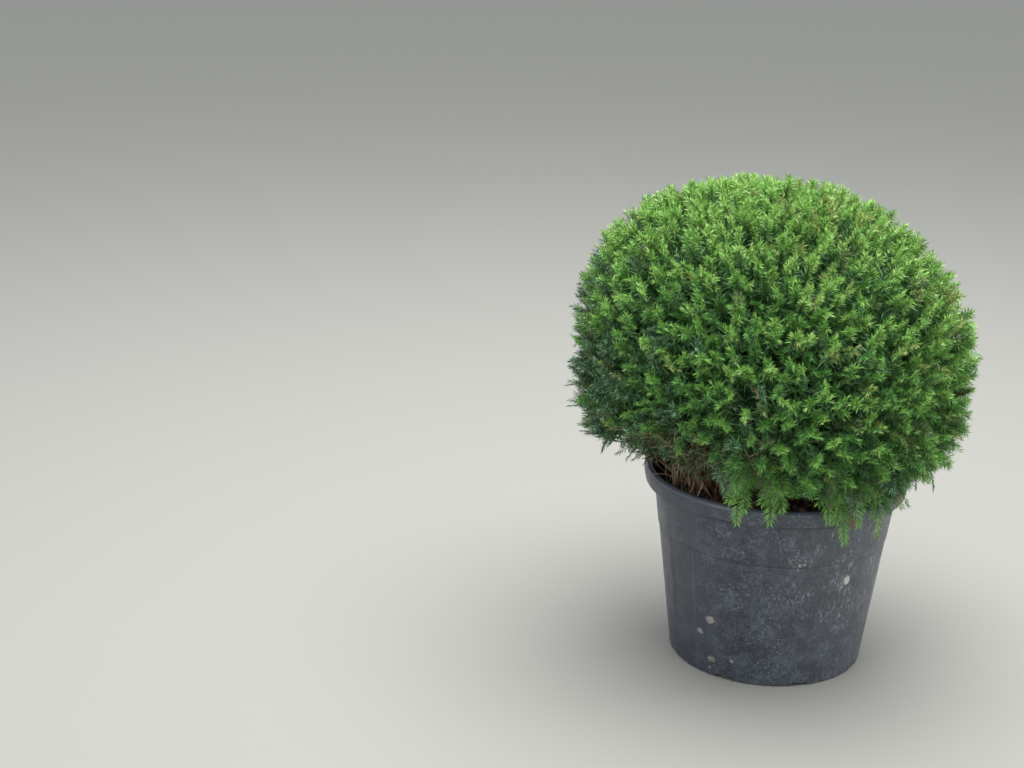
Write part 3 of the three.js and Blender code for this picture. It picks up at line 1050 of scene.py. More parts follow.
def crownReach(direction, inset):
    x, y, z = direction.T
    below = z < 0
    power = np.where(below, crown["lowerRoundness"], crown["upperRoundness"])
    tall = np.where(below, crown["sag"], crown["rise"]) - inset
    level = np.hypot(x, y) / (crown["girth"] - inset)
    whole = (level ** power + (np.abs(z) / tall) ** power) ** (1 / power)
    liftX, liftY = crown["liftTowards"]
    lift = crown["undersideLift"] * np.maximum(0, liftX * x + liftY * y)
    trimmed = np.maximum(-z, 0) / (crown["middle"][2] - crown["underside"] - lift - inset)
    sharp = crown["trimSharpness"]
    return 1 / np.where(below, (whole ** sharp + trimmed ** sharp) ** (1 / sharp), whole)


# Shallow waves round the ball.
def swell(direction):
    x, y, z = direction.T
    turn = np.arctan2(y, x)
    return 1 + crown["swell"] * np.hypot(x, y) * (np.sin(3 * turn + 5 * z) + np.cos(5 * turn - 4 * z))


def onCrown(direction, inset):
    place = direction * column(crownReach(direction, inset) * swell(direction))
    place[:, 0] += crown["lean"] * place[:, 2]
    return place + crown["middle"]


# How deep points lie inside the outline.
def depthInside(points):
    place = points - crown["middle"]
    place[:, 0] -= crown["lean"] * place[:, 2]
    direction = unit(place)
    return crownReach(direction, 0) * swell(direction) - np.linalg.norm(place, axis=1)


# Directions spread evenly over the ball, on a spiral from its top to its foot.
def spreadDirections(count):
    index = np.arange(count)
    height = 1 - 2 * (index + 0.5) / count
    turn = index * np.pi * (3 - np.sqrt(5))
    level = np.sqrt(1 - height ** 2)
    return np.stack((np.cos(turn) * level, np.sin(turn) * level, height), axis=1)


# Branches carry on from the limbs' ends to a good hand's breadth inside the outline
branches = {
    "count": 120,
    "spread": 0.05,
    "lowest": -0.55,
    "inset": 0.125,
    "bend": 0.018,
    "arch": 0.012,
    "rings": 10,
}


def growBranches():
    direction = unit(spreadDirections(branches["count"]) + jitter(branches["count"], branches["spread"]))
    direction = direction[direction[:, 2] > branches["lowest"]]
    ends = onCrown(direction, branches["inset"])
    starts = np.array([path[-1] for path in limbPaths])
    gaps = np.linalg.norm(ends[:, None] - starts[None], axis=2)
    nearest = starts[np.argmin(gaps, axis=1)]
    paths = []
    for start, end in zip(nearest, ends):
        middle = start * 0.5 + end * 0.5 + jitter(1, branches["bend"])[0] + upwards * branches["arch"]
        paths.append(smoothPath([start, middle, end], branches["rings"] - 1))
    return np.array(paths)


# Sprays: a twig that ends near the outline. Some end deeper and a few stand proud of it, and a fold here and
# there sets them back, more so low on the left. Heights are those of the direction, from -1 to 1.
sprays = {
    "count": 2150,
    "spread": 0.032,
    "sparseBelow": -0.80,
    "sparseShare": 0.35,
    "tipInset": (-0.004, 0.015),
    "deepInset": (0.020, 0.055),
    "deepShare": 0.34,
    "proudInset": (-0.012, -0.005),
    "proudShare": 0.07,
    "smootherAt": (0.3, 0.8),
    "deepAtTop": 0.38,
    "foldsAtTop": 0.25,
    "foldDepth": 0.008,
    "leftFoldDepth": 0.030,
    "leftFrom": 0.3,
    "leftMost": 0.5,
    "leftLoss": 0.55,
    "riseAt": [-0.9, -0.5, -0.25, 0.15, 0.8],
    "rise": [-0.25, -0.30, 0.10, 0.60, 0.30],
    "waver": 0.28,
    "faceOut": 0.7,
    "faceUp": 0.8,
    "faceWaver": 0.9,
    "length": (0.052, 0.076),
}

# Where the underside shows its bare twigs: turns from the front where that starts, holds and ends, up to
# what height, and the share of sprays that is left there
bareZone = {"turns": (-62, -50, -20, -2), "heights": (0.520, 0.600), "kept": 0.07}

# Sprays that hang at the crown's lower edge: where their tips are, by turn from the front
hangingSprays = [
    {"turns": (22, 62), "count": 20, "tipHeight": (0.395, 0.450), "tipRadius": (0.284, 0.322)},
    {"turns": (62, 112), "count": 18, "tipHeight": (0.425, 0.462), "tipRadius": (0.295, 0.335)},
    {"turns": (112, 236), "count": 44, "tipHeight": (0.400, 0.452), "tipRadius": (0.285, 0.330)},
    {"turns": (236, 296), "count": 22, "tipHeight": (0.425, 0.465), "tipRadius": (0.305, 0.370)},
    {"turns": (-66, -54), "count": 4, "tipHeight": (0.462, 0.490), "tipRadius": (0.280, 0.340)},
    {"turns": (-20, 22), "count": 28, "tipHeight": (0.434, 0.464), "tipRadius": (0.262, 0.312)},
]
hangingSpray = {
    "turnWaver": 3,
    "outward": (0.2, 0.9),
    "waver": 0.3,
    "length": (0.075, 0.105),
    "faceUp": 0.3,
    "faceWaver": 0.4,
    "deepShare": 0.3,
}

# Loose sprays that stand a little out of the ball, most of them on the left: by turn and height
looseSprays = [
    {"turns": (-122, -64), "count": 46, "tipHeight": (0.475, 0.830)},
    {"turns": (64, 112), "count": 10, "tipHeight": (0.520, 0.720)},
    {"turns": (130, 230), "count": 20, "tipHeight": (0.480, 0.800)},
]
looseSpray = {
    "reach": 0.38,
    "inset": (-0.013, 0.002),
    "rise": (-0.1, 0.7),
    "waver": 0.35,
    "length": (0.065, 0.090),
    "faceOut": 0.5,
    "faceWaver": 0.5,
}


def joined(parts):
    return {key: np.concatenate([part[key] for part in parts]) for key in parts[0]}


def sprayRows(direction, tips, along, length, facing, deep, inset):
    return {"direction": direction, "root": tips - along * column(length), "along": along, "length": length,
            "facing": facing, "deep": deep, "inset": inset}


# A wave over the ball, by its frequencies along X, Y and Z, and its phase in radians.
def wave(direction, frequencies, phase=0.0):
    return np.sin(direction @ np.array(frequencies) + phase)


def growSprays():
    count = sprays["count"]
    direction = unit(spreadDirections(count) + jitter(count, sprays["spread"]))
    filled = (direction[:, 2] > sprays["sparseBelow"]) | (random.rand(count) < sprays["sparseShare"])
    direction = direction[filled]
    count = len(direction)
    x, _, z = direction.T
    deepShare = sprays["deepShare"] * np.interp(z, sprays["smootherAt"], [1, sprays["deepAtTop"]])
    deep = random.rand(count) < deepShare
    inset = np.where(deep, between(*sprays["deepInset"], count), between(*sprays["tipInset"], count))
    proud = random.rand(count) < sprays["proudShare"]
    inset = np.where(proud, between(*sprays["proudInset"], count), inset)
    folds = wave(direction, (16, 0, 5), 1) * wave(direction, (0, 14, -8)) + 0.5 * wave(direction, (6, 0, 27))
    leftLow = np.clip(-x - z - sprays["leftFrom"], 0, sprays["leftMost"])
    foldDepth = sprays["foldDepth"] + sprays["leftFoldDepth"] * leftLow
    foldDepth = foldDepth * np.interp(z, sprays["smootherAt"], [1, sprays["foldsAtTop"]])
    inset = inset + np.maximum(folds, 0) * foldDepth
    tips = onCrown(direction, inset)
    turn = np.degrees(np.arctan2(tips[:, 0], -tips[:, 1]))
    bareness = np.interp(turn, bareZone["turns"], [0, 1, 1, 0])
    bareness = bareness * np.interp(tips[:, 2], bareZone["heights"], [1, 0])
    kept = random.rand(count) > np.maximum(bareness * (1 - bareZone["kept"]), leftLow * sprays["leftLoss"])
    direction, tips, deep, inset = direction[kept], tips[kept], deep[kept], inset[kept]
    count = len(direction)
    rise = np.interp(direction[:, 2], sprays["riseAt"], sprays["rise"])
    along = unit(direction + column(rise) * upwards + jitter(count, sprays["waver"]))
    length = between(*sprays["length"], count)
    facing = direction * sprays["faceOut"] + upwards * sprays["faceUp"] + jitter(count, sprays["faceWaver"])
    return sprayRows(direction, tips, along, length, squareTo(facing, along), deep, inset)


def growHangingSprays():
    parts = []
    for group in hangingSprays:
        count = group["count"]
        turnWaver = hangingSpray["turnWaver"]
        turn = np.linspace(*group["turns"], count) + between(-turnWaver, turnWaver, count)
        outwards = atTurn(turn, 1, 0)
        tips = atTurn(turn, between(*group["tipRadius"], count), between(*group["tipHeight"], count))
        outward = outwards * column(between(*hangingSpray["outward"], count))
        along = unit(outward - upwards + jitter(count, hangingSpray["waver"]))
        length = between(*hangingSpray["length"], count)
        facing = outwards + upwards * hangingSpray["faceUp"] + jitter(count, hangingSpray["faceWaver"])
        deep = random.rand(count) < hangingSpray["deepShare"]
        parts.append(sprayRows(unit(tips - crown["middle"]), tips, along, length, squareTo(facing, along),
                               deep, np.zeros(count)))
    return joined(parts)


def growLooseSprays():
    parts = []
    for group in looseSprays:
        count = group["count"]
        turn = between(*group["turns"], count)
        height = between(*group["tipHeight"], count) - crown["middle"][2]
        direction = unit(atTurn(turn, looseSpray["reach"], height))
        tips = onCrown(direction, between(*looseSpray["inset"], count))
        rise = upwards * column(between(*looseSpray["rise"], count))
        along = unit(direction + rise + jitter(count, looseSpray["waver"]))
        length = between(*looseSpray["length"], count)
        facing = upwards + direction * looseSpray["faceOut"] + jitter(count, looseSpray["faceWaver"])
        parts.append(sprayRows(direction, tips, along, length, squareTo(facing, along),
                               np.zeros(count, bool), np.zeros(count)))
    return joined(parts)


# Shoots of the crown's sprays: a leading shoot, and side shoots on alternate sides that turn outwards. Where
# each starts is its share of the spray's length, and angles are in degrees from the spray.
sprayShoots = {
    "leadShare": 0.40,
    "count": 6,
    "firstStart": 0.38,
    "startStep": 0.10,
    "startWaver": 0.06,
    "startLimits": (0.1, 0.94),
    "openAngle": 46,
    "closing": 12,
    "angleWaver": 12,
    "roundWaver": 0.9,
    "outwardPull": 0.85,
    "length": (0.014, 0.025),
    "footLonger": 1.15,
    "tipShorter": 0.3,
    "faceWaver": 0.5,
    "overshoot": 0.003,
    "shortest": 0.35,
}

# Hanging shoots: a long leading shoot and three that part from it at a small angle
hangingShoots = {
    "leadShare": 0.62,
    "starts": (0.12, 0.30, 0.48),
    "angles": (30, -27, 23),
    "angleWaver": 9,
    "waver": 0.16,
    "startWaver": 0.05,
    "length": (0.028, 0.044),
    "footLonger": 1.1,
    "tipShorter": 0.5,
    "faceWaver": 0.35,
}

# Low shoots that droop over the rim: turn from the front, and where the tip hangs
lowShoots = [
    {"turn": -14, "tipRadius": 0.291, "tipHeight": 0.384},
    {"turn": -1, "tipRadius": 0.288, "tipHeight": 0.390},
    {"turn": 27, "tipRadius": 0.300, "tipHeight": 0.356},
    {"turn": 43, "tipRadius": 0.302, "tipHeight": 0.360},
    {"turn": 34, "tipRadius": 0.294, "tipHeight": 0.382},
    {"turn": 21, "tipRadius": 0.290, "tipHeight": 0.396},
    {"turn": 84, "tipRadius": 0.316, "tipHeight": 0.388},
    {"turn": 128, "tipRadius": 0.300, "tipHeight": 0.372},
    {"turn": 171, "tipRadius": 0.296, "tipHeight": 0.386},
    {"turn": 214, "tipRadius": 0.294, "tipHeight": 0.368},
    {"turn": 252, "tipRadius": 0.308, "tipHeight": 0.398},
    {"turn": -22, "tipRadius": 0.258, "tipHeight": 0.426},
]
lowShoot = {
    "rootRadius": 0.205,
    "rootHeight": 0.520,
    "bendRadius": 0.262,
    "bendHeight": 0.492,
    "endInset": 0.010,
    "endRise": 0.072,
    "steps": 7,
    "outward": 0.13,
    "waver": 0.07,
    "faceWaver": 0.25,
    "bold": 1.18,
    "withDeadSprig": 2,  # the third low shoot
}

# The sprigs of each low shoot: how far each spreads aside, where it starts, its length and its side step
lowSprigs = [
    {"spread": 0.06, "start": 1.0, "length": 0.074, "step": 0},
    {"spread": 0.10, "start": 0.82, "length": 0.054, "step": 0.014},
    {"spread": -0.34, "start": 0.86, "length": 0.046, "step": 0},
    {"spread": -0.08, "start": 0.6, "length": 0.044, "step": 0},
]


def leadShoots(spray, share):
    tips = spray["root"] + spray["along"] * column(spray["length"])
    return {"root": tips - spray["along"] * column(spray["length"] * share), "end": tips,
            "facing": spray["facing"], "spray": np.arange(len(tips))}


def shootsFrom(spray, start, way, reach, faceWaver):
    root = spray["root"] + spray["along"] * column(spray["length"] * start)
    facing = squareTo(spray["facing"] + jitter(len(root), faceWaver), way)
    return {"root": root, "end": root + way * column(reach), "facing": facing, "spray": np.arange(len(root))}


# Shortens the shoots that would pass the outline.
def clipShoots(shoots, spray):
    depth = depthInside(shoots["end"])
    run = shoots["end"] - shoots["root"]
    over = np.maximum(sprayShoots["overshoot"], np.repeat(-spray["inset"], sprayShoots["count"] + 1))
    share = np.clip(1 + (depth + over) / np.linalg.norm(run, axis=1), sprayShoots["shortest"], 1)
    shoots["end"] = shoots["root"] + run * column(share)
    return shoots


def growShoots(spray):
    kind = sprayShoots
    count = len(spray["root"])
    aside = np.cross(spray["facing"], spray["along"])
    handed = np.where(random.rand(count) < 0.5, 1, -1)
    parts = [leadShoots(spray, kind["leadShare"])]
    for k in range(kind["count"]):
        waver = between(-kind["startWaver"], kind["startWaver"], count)
        start = np.clip(kind["firstStart"] + kind["startStep"] * k + waver, *kind["startLimits"])
        waver = between(-kind["angleWaver"], kind["angleWaver"], count)
        angle = np.radians(kind["openAngle"] - kind["closing"] * start + waver)
        waver = between(-kind["roundWaver"], kind["roundWaver"], count)
        spoke = leaning(spray["facing"], aside, handed * (-1) ** k * np.pi / 2 + waver)
        way = leaning(spray["along"], spoke, angle)
        way = unit(way + spray["direction"] * kind["outwardPull"] * column(np.sin(angle)))
        reach = between(*kind["length"], count) * (kind["footLonger"] - start * kind["tipShorter"])
        parts.append(shootsFrom(spray, start, way, reach, kind["faceWaver"]))
    return clipShoots(joined(parts), spray)


def growHangingShoots(spray):
    kind = hangingShoots
    count = len(spray["root"])
    aside = np.cross(spray["facing"], spray["along"])
    parts = [leadShoots(spray, kind["leadShare"])]
    for start, degrees in zip(kind["starts"], kind["angles"]):
        angle = np.radians(degrees + between(-kind["angleWaver"], kind["angleWaver"], count))
        way = unit(leaning(spray["along"], aside, angle) + jitter(count, kind["waver"]))
        starts = start + between(-kind["startWaver"], kind["startWaver"], count)
        reach = between(*kind["length"], count) * (kind["footLonger"] - start * kind["tipShorter"])
        parts.append(shootsFrom(spray, starts, way, reach, kind["faceWaver"]))
    return joined(parts)


def growLowShoots():
    twigs = []
    rows = []
    for index, low in enumerate(lowShoots):
        outwards = atTurn(low["turn"], 1, 0)
        sideways = atTurn(low["turn"] + 90, 1, 0)
        root = atTurn(low["turn"], lowShoot["rootRadius"], lowShoot["rootHeight"])
        bend = atTurn(low["turn"], lowShoot["bendRadius"], lowShoot["bendHeight"])
        endRadius = low["tipRadius"] - lowShoot["endInset"]
        end = atTurn(low["turn"], endRadius, low["tipHeight"] + lowShoot["endRise"])
        twigs.append(smoothPath([root, bend, end], lowShoot["steps"]))
        for sprig in lowSprigs:
            start = bend + (end - bend) * sprig["start"] + sideways * sprig["step"]
            way = outwards * lowShoot["outward"] - upwards + sideways * sprig["spread"]
            way = unit(way + jitter(1, lowShoot["waver"])[0])
            facing = squareTo(outwards + jitter(1, lowShoot["faceWaver"])[0], way)
            rows.append((start, start + way * sprig["length"], facing, index))
    names = ("root", "end", "facing", "spray")
    return np.array(twigs), {name: np.array(values) for name, values in zip(names, zip(*rows))}


# Needles: a kite folded along its midrib, pointed at both ends. Those inside are longer and broader, and
# each stands for several.
needle = {
    "length": (0.0124, 0.0168),
    "width": (0.0016, 0.0020),
    "spacing": 0.00118,
    "flatSpacing": 0.00122,
    "flatFrom": 0.8,
    "flatAt": ([-0.6, -0.3, 0.1, 0.8], [1.0, 0.6, 0.35, 0.25]),  # by height in the ball
    "startWaver": 0.4,
    "fewest": 8,
    "widest": 0.42,
    "fold": 0.16,
    "droop": 0.06,
    "opened": ([0, 0.2, 0.75, 1.0], [62, 55, 42, 15]),  # degrees from the shoot, foot to tip
    "openedFlat": 10,
    "openedWaver": 9,
    "flatRoll": (-0.35, 0.55),
    "roundRoll": (-0.4, np.pi + 0.4),
    "bladeAlong": 1.1,
    "bladeWaver": 0.8,
    "lengthAlong": ([0, 0.25, 0.7, 1.0], [0.8, 1.0, 0.95, 0.66]),
    "roundShare": 0.96,
    "flatGain": 0.14,
    "piecesOf": 95000,  # the most needles in one piece
}

innerNeedle = {
    "length": (0.018, 0.026),
    "width": (0.0030, 0.0044),
    "last": 0.95,
    "sizeAlong": ([0.35, 0.95], [1.46, 0.66]),
    "forward": 0.6,
    "onTwigs": {"each": 66, "first": 0.15},
    "onBranches": {"each": 1500, "first": 0.15, "bulk": 1.6},
    "onBareTwigs": {"each": 105, "first": 0.42},
}


def needleArrays(root, way, blade, length, width):
    aside = unit(np.cross(way, blade)) * column(width / 2)
    waist = root + way * column(length * needle["widest"]) + blade * column(width * needle["fold"])
    tip = root + way * column(length) - blade * column(length * needle["droop"])
    points = np.stack((root, waist + aside, tip, waist - aside), axis=1)
    faces = np.array(((0, 1, 2), (0, 2, 3)))
    return points.reshape(-1, 3), repeatFaces(faces, len(root), 4)


# Flatness 0 sets a shoot's needles all round it, and 1 sets them in two flat ranks.
def needlesOn(shoots, flatness):
    run = shoots["end"] - shoots["root"]
    reach = np.linalg.norm(run, axis=1)
    spacing = np.where(flatness > needle["flatFrom"], needle["flatSpacing"], needle["spacing"])
    counts = np.maximum((reach / spacing).astype(int), needle["fewest"])
    owner = np.repeat(np.arange(len(reach)), counts)
    total = len(owner)
    order = np.arange(total) - np.repeat(np.cumsum(counts) - counts, counts)
    waver = between(-needle["startWaver"], needle["startWaver"], total)
    share = (order + 0.5 + waver) / counts[owner]
    along = unit(run)[owner]
    facing = shoots["facing"][owner]
    side = np.where(order % 2 == 0, 1, -1)
    flat = flatness[owner]
    waver = between(-needle["openedWaver"], needle["openedWaver"], total)
    opened = np.radians(np.interp(share, *needle["opened"]) + flat * needle["openedFlat"] + waver)
    twoRanked = random.rand(total) < flat
    roll = np.where(twoRanked, between(*needle["flatRoll"], total), between(*needle["roundRoll"], total))
    spoke = leaning(np.cross(facing, along) * column(side), facing, roll)
    way = unit(leaning(along, spoke, opened))
    blade = facing * column(flat) + along * column(needle["bladeAlong"] - flat)
    blade = squareTo(blade + jitter(total, needle["bladeWaver"]), way)
    bold = shoots["bold"][owner]
    length = between(*needle["length"], total) * np.interp(share, *needle["lengthAlong"])
    length = length * (needle["roundShare"] + needle["flatGain"] * flat) * bold
    width = between(*needle["width"], total) * bold
    root = shoots["root"][owner] + run[owner] * column(share)
    return {"root": root, "way": way, "blade": blade, "length": length, "width": width,
            "owner": owner, "share": share}


# Older needles on the inner part of each twig or branch.
def growInnerNeedles(paths, each, first, bulk=1.0):
    steps = paths.shape[1] - 1
    owner = np.repeat(np.arange(len(paths)), each)
    count = len(owner)
    share = between(first, innerNeedle["last"], count) * steps
    low = np.minimum(share.astype(int), steps - 1)
    run = paths[owner, low + 1] - paths[owner, low]
    way = unit(unit(run) * innerNeedle["forward"] + jitter(count, 1.0))
    size = np.interp(share / steps, *innerNeedle["sizeAlong"]) * bulk
    return {"root": paths[owner, low] + run * column(share - low), "way": way,
            "blade": squareTo(jitter(count, 1), way), "length": between(*innerNeedle["length"], count) * size,
            "width": between(*innerNeedle["width"], count) * size}


# Plain base colours, dealt out by spray, from old growth to the freshest tips. The low steps also stand for
# painted shade, and the high steps for painted light from above
needleColours = {
    "deep": (0.072, 0.206, 0.048),
    "green": (0.118, 0.318, 0.055),
    "leaf": (0.192, 0.420, 0.074),
    "light": (0.262, 0.494, 0.098),
    "fresh": (0.332, 0.556, 0.145),
    # cool: darker and bluer, painted shade for the lower left
    "cool": (0.050, 0.124, 0.060),
    # cool_glint: pale needles among the cool ones, painted highlights of the sky
    "cool_glint": (0.208, 0.398, 0.196),
    "dull": (0.125, 0.160, 0.074),
    "olive": (0.318, 0.392, 0.105),
    # shade: the inner needles, made paler than old growth as painted light to lift the dark gaps inside the
    # crown
    "shade": (0.105, 0.246, 0.078),
    "rust": (0.260, 0.150, 0.070),
}
colourNames = list(needleColours)
ladder = ["deep", "green", "leaf", "light", "fresh"]

# Roughness where a needle is glossiest, and how much duller its patches are
needleFinish = {"glossiest": 0.40, "coolGlossiest": 0.18, "duller": 0.2, "patches": (90, 2, 0.55, 0.3, 0.7)}

# How a spray's place on the ball sets its colour: its glow picks the step on the ladder, and it is cool where
# coolness passes the limit. Glow rises with height as painted light from above, and coolness low on the left
# is painted shade.
dealing = {
    "glow": 0.372,
    "glowUp": 0.50,
    "glowRight": -0.02,
    "glowWaver": 0.19,
    "cool": 0.25,
    "coolRight": -0.42,
    "coolRightLimits": (0.3, 1),
    "coolLeft": 1.2,
    "coolUp": -0.20,
    "coolWaver": 0.17,
    "coolLow": 0.5,
    "coolHigh": -0.30,
    "coolLimit": 0.52,
    "waves": 0.08,
    "bronzeAt": (0.32, -0.35, 0.85),  # the direction round which most tips are olive
    "bronzeSpread": 0.05,
    "oliveShare": 0.04,
    "oliveRight": 0.12,
    "oliveBronze": 0.6,
    "dullShare": 0.04,
    "dullLow": 0.8,
    "lowFrom": -0.30,
    "highFrom": 0.10,
    # painted shade on deep sprays and on hanging ones under the crown
    "deepLoss": 0.30,
    "hangingLoss": 0.17,
    "sprigLoss": 0.04,
    "sprigDull": 0.4,
    "lowGlow": (0.22, 0.40),
    "frontLowGlow": (0.38, 0.44),  # the first two low shoots
}

# How single shoots and needles differ from their spray, with painted shade on shoots that end deep inside
shade = {
    "shootWaver": 0.11,
    "depthFrom": 0.008,
    "depthTo": 0.05,
    "depthLoss": 4,
    "deadShoots": 0.0015,
    "needleWaver": 0.10,
    "youngFrom": 0.55,
    # shares of cool needles painted pale as glints, at the tips and further back
    "glintYoung": 0.40,
    "glintOld": 0.18,
    "dullNeedles": 0.7,
    "deadNeedles": 0.003,
}


# Fresh growth and painted light from above show most at the top, olive tips on the right, and a darker, bluer
# colour painted as shade low on the left.
def dealColours(direction):
    x, _, z = direction.T
    count = len(x)
    waves = wave(direction, (7, 0, 3), 1.3) * wave(direction, (0, 6, -4), 0.4)
    waves = dealing["waves"] * (waves + 0.6 * wave(direction, (13, -9, 5)))
    glow = dealing["glow"] + dealing["glowUp"] * z + dealing["glowRight"] * x + waves
    glow = glow + random.normal(0, dealing["glowWaver"], count)
    slope = np.where(x > 0, np.clip(1 + z, *dealing["coolRightLimits"]), dealing["coolLeft"])
    low = np.maximum(dealing["lowFrom"] - z, 0)
    cool = dealing["cool"] + dealing["coolRight"] * x * slope + dealing["coolUp"] * z + waves
    cool = cool + random.normal(0, dealing["coolWaver"], count)
    cool += dealing["coolLow"] * low + dealing["coolHigh"] * np.maximum(z - dealing["highFrom"], 0)
    bronzeGap = np.sum((direction - dealing["bronzeAt"]) ** 2, axis=1)
    bronze = dealing["oliveBronze"] * np.exp(-bronzeGap / dealing["bronzeSpread"])
    olive = random.rand(count) < dealing["oliveShare"] + dealing["oliveRight"] * np.maximum(x, 0) + bronze
    dull = random.rand(count) < dealing["dullLow"] * low + dealing["dullShare"]
    return {"glow": glow, "cool": cool > dealing["coolLimit"], "olive": olive, "dull": dull}


# Colours of all sprays, in the order crown, hanging and loose, low shoots, sprigs.
def dealAll(spray, hanging, lowEnds, sprigEnds):
    ends = unit(np.concatenate((lowEnds, sprigEnds)) - crown["middle"])
    dealt = dealColours(np.concatenate((spray["direction"], hanging["direction"], ends)))
    hangingFirst = len(spray["root"])
    lowFirst = hangingFirst + len(hanging["root"])
    sprigFirst = lowFirst + len(lowEnds)
    low = slice(lowFirst, sprigFirst)
    frontLow = slice(lowFirst, lowFirst + len(dealing["frontLowGlow"]))
    dealt["glow"][low] = between(*dealing["lowGlow"], len(lowEnds))
    dealt["glow"][frontLow] = dealing["frontLowGlow"]
    for kind in ("cool", "dull", "olive"):
        dealt[kind][low] = False
    dealt["cool"][sprigFirst - 1] = True  # the last low shoot
    dealt["cool"][sprigFirst:] = False
    dealt["dull"][sprigFirst:] = random.rand(len(sprigEnds)) < dealing["sprigDull"]
    dealt["glow"][sprigFirst:] -= dealing["sprigLoss"]
    # Painted shade: deep sprays and the hanging ones under the crown get a lower glow.
    dealt["glow"][:lowFirst] -= np.concatenate((spray["deep"], hanging["deep"])) * dealing["deepLoss"]
    dealt["glow"][hangingFirst:lowFirst] -= dealing["hangingLoss"]
    return dealt


def colourOf(needles, shoots, dealt):
    owner = shoots["spray"][needles["owner"]]
    count = len(owner)
    glow = dealt["glow"][owner] + shoots["lift"][needles["owner"]]
    glow = np.clip(glow + random.normal(0, shade["needleWaver"], count), 0, 0.999)
    young = needles["share"] > shade["youngFrom"]
    ladderIndex = np.array([colourNames.index(name) for name in ladder])
    chosen = ladderIndex[(glow * (len(ladder) - 1)).astype(int) + young]
    # Painted highlight: some needles of cool sprays are pale as glints, more of them among the young ones.
    glinting = random.rand(count) < np.where(young, shade["glintYoung"], shade["glintOld"])
    cool = np.where(glinting, colourNames.index("cool_glint"), colourNames.index("cool"))
    chosen = np.where(dealt["cool"][owner], cool, chosen)
    dull = dealt["dull"][owner] & (random.rand(count) < shade["dullNeedles"])
    chosen = np.where(dull, colourNames.index("dull"), chosen)
    chosen = np.where(dealt["olive"][owner] & young, colourNames.index("olive"), chosen)
    dead = shoots["dead"][needles["owner"]] | (random.rand(count) < shade["deadNeedles"])
    return np.where(dead, colourNames.index("rust"), chosen)


def makeNeedleMaterial(name):
    material, shader = newMaterial(f"needles_{name}", Base_Color=(*needleColours[name], 1))
    glossiest = needleFinish["coolGlossiest" if "cool" in name else "glossiest"]
    roughness = patchy(material, objectPlace(material), *needleFinish["patches"],
                       glossiest, glossiest + needleFinish["duller"])
    join(material, roughness, shader.inputs["Roughness"])
    return material


def makeNeedlePieces(name, picked):
    total = len(picked["root"])
    parts = -(-total // needle["piecesOf"])
    material = makeNeedleMaterial(name)
    for part in range(parts):
        rows = slice(part * total // parts, (part + 1) * total // parts)
        arrays = needleArrays(*(picked[key][rows] for key in ("root", "way", "blade", "length", "width")))
        suffix = f"_{part + 1}" if parts > 1 else ""
        hand(pieceFromArrays(f"needles_{name}{suffix}", *arrays), material, "needles", "crown")
    print("needles", name, total)


# Bare twigs under the raised underside at the front left: some rise from the side stems, some straight
# from the compost, and finer ones part from them. Those from the compost fan out from the turn of their foot.
bareTwigs = {
    "count": 140,
    "turn": (-66, 10),
    "rings": 8,
    "radius": (0.0009, 0.0017),
    "fromCompost": 0.52,
    "footTurn": (-102, -42),
    "footRadius": (0.165, 0.228),
    "footHeight": 0.366,
    "fan": (-22, 46),
    "compostReach": (0.30, 0.80),
    "compostFall": (0.16, 0.50),
    "stemReach": (0.35, 0.95),
    "stemFall": (0.12, 0.62),
    "stems": 5,  # the first side stems, at the front left
    "nearestStems": 3,
    "stemSteps": (4, 30),
    "endInset": (0.02, 0.08),
    "arch": (0.004, 0.036),
    "bend": 0.018,
    "red": 10,  # how many of them are reddish
}

fineTwigs = {
    "count": 1350,
    "length": (0.030, 0.080),
    "radius": (0.0006, 0.0011),
    "waver": 0.9,
    "rise": 0.15,
    "depth": 0.004,
    "rimRadius": 0.225,
    "overCompost": 0.385,
    "overRim": 0.425,
    "bend": 0.007,
    "steps": 4,
}

# A few shoots left at the ends of the fine bare twigs
sprigs = {"count": 96, "waver": 0.3, "overlap": 0.008, "length": (0.014, 0.030), "faceWaver": 0.6}

# One twig that strays over the rim at the left
strayTwig = {
    "points": [
        (-0.150, -0.105, 0.384), (-0.190, -0.118, 0.402),
        (-0.221, -0.121, 0.412), (-0.247, -0.119, 0.4085),
    ],
    "steps": 12,
}


def growBareTwigs():
    firstStem = 1 + boughs["count"]
    stems = limbPaths[firstStem:firstStem + bareTwigs["stems"]]
    paths = []
    for turn in between(*bareTwigs["turn"], bareTwigs["count"]):
        start = None
        reach, fall = "stemReach", "stemFall"
        if random.rand() < bareTwigs["fromCompost"]:
            turn = random.uniform(*bareTwigs["footTurn"])
            start = atTurn(turn, random.uniform(*bareTwigs["footRadius"]), bareTwigs["footHeight"])
            turn += random.uniform(*bareTwigs["fan"])
            reach, fall = "compostReach", "compostFall"
        direction = atTurn(turn, random.uniform(*bareTwigs[reach]), 0)
        direction = direction - upwards * random.uniform(*bareTwigs[fall])
        end = onCrown(unit(direction)[None], np.array([random.uniform(*bareTwigs["endInset"])]))[0]
        if start is None:
            gaps = [np.linalg.norm(path[-1] - end) for path in stems]
            stem = stems[int(np.argsort(gaps)[random.randint(0, bareTwigs["nearestStems"])])]
            start = stem[random.randint(*bareTwigs["stemSteps"])]
        middle = start * 0.5 + end * 0.5 + (0, 0, random.uniform(*bareTwigs["arch"]))
        middle = middle + jitter(1, bareTwigs["bend"])[0]
        paths.append(smoothPath([start, middle, end], bareTwigs["rings"] - 1))
    return np.array(paths)


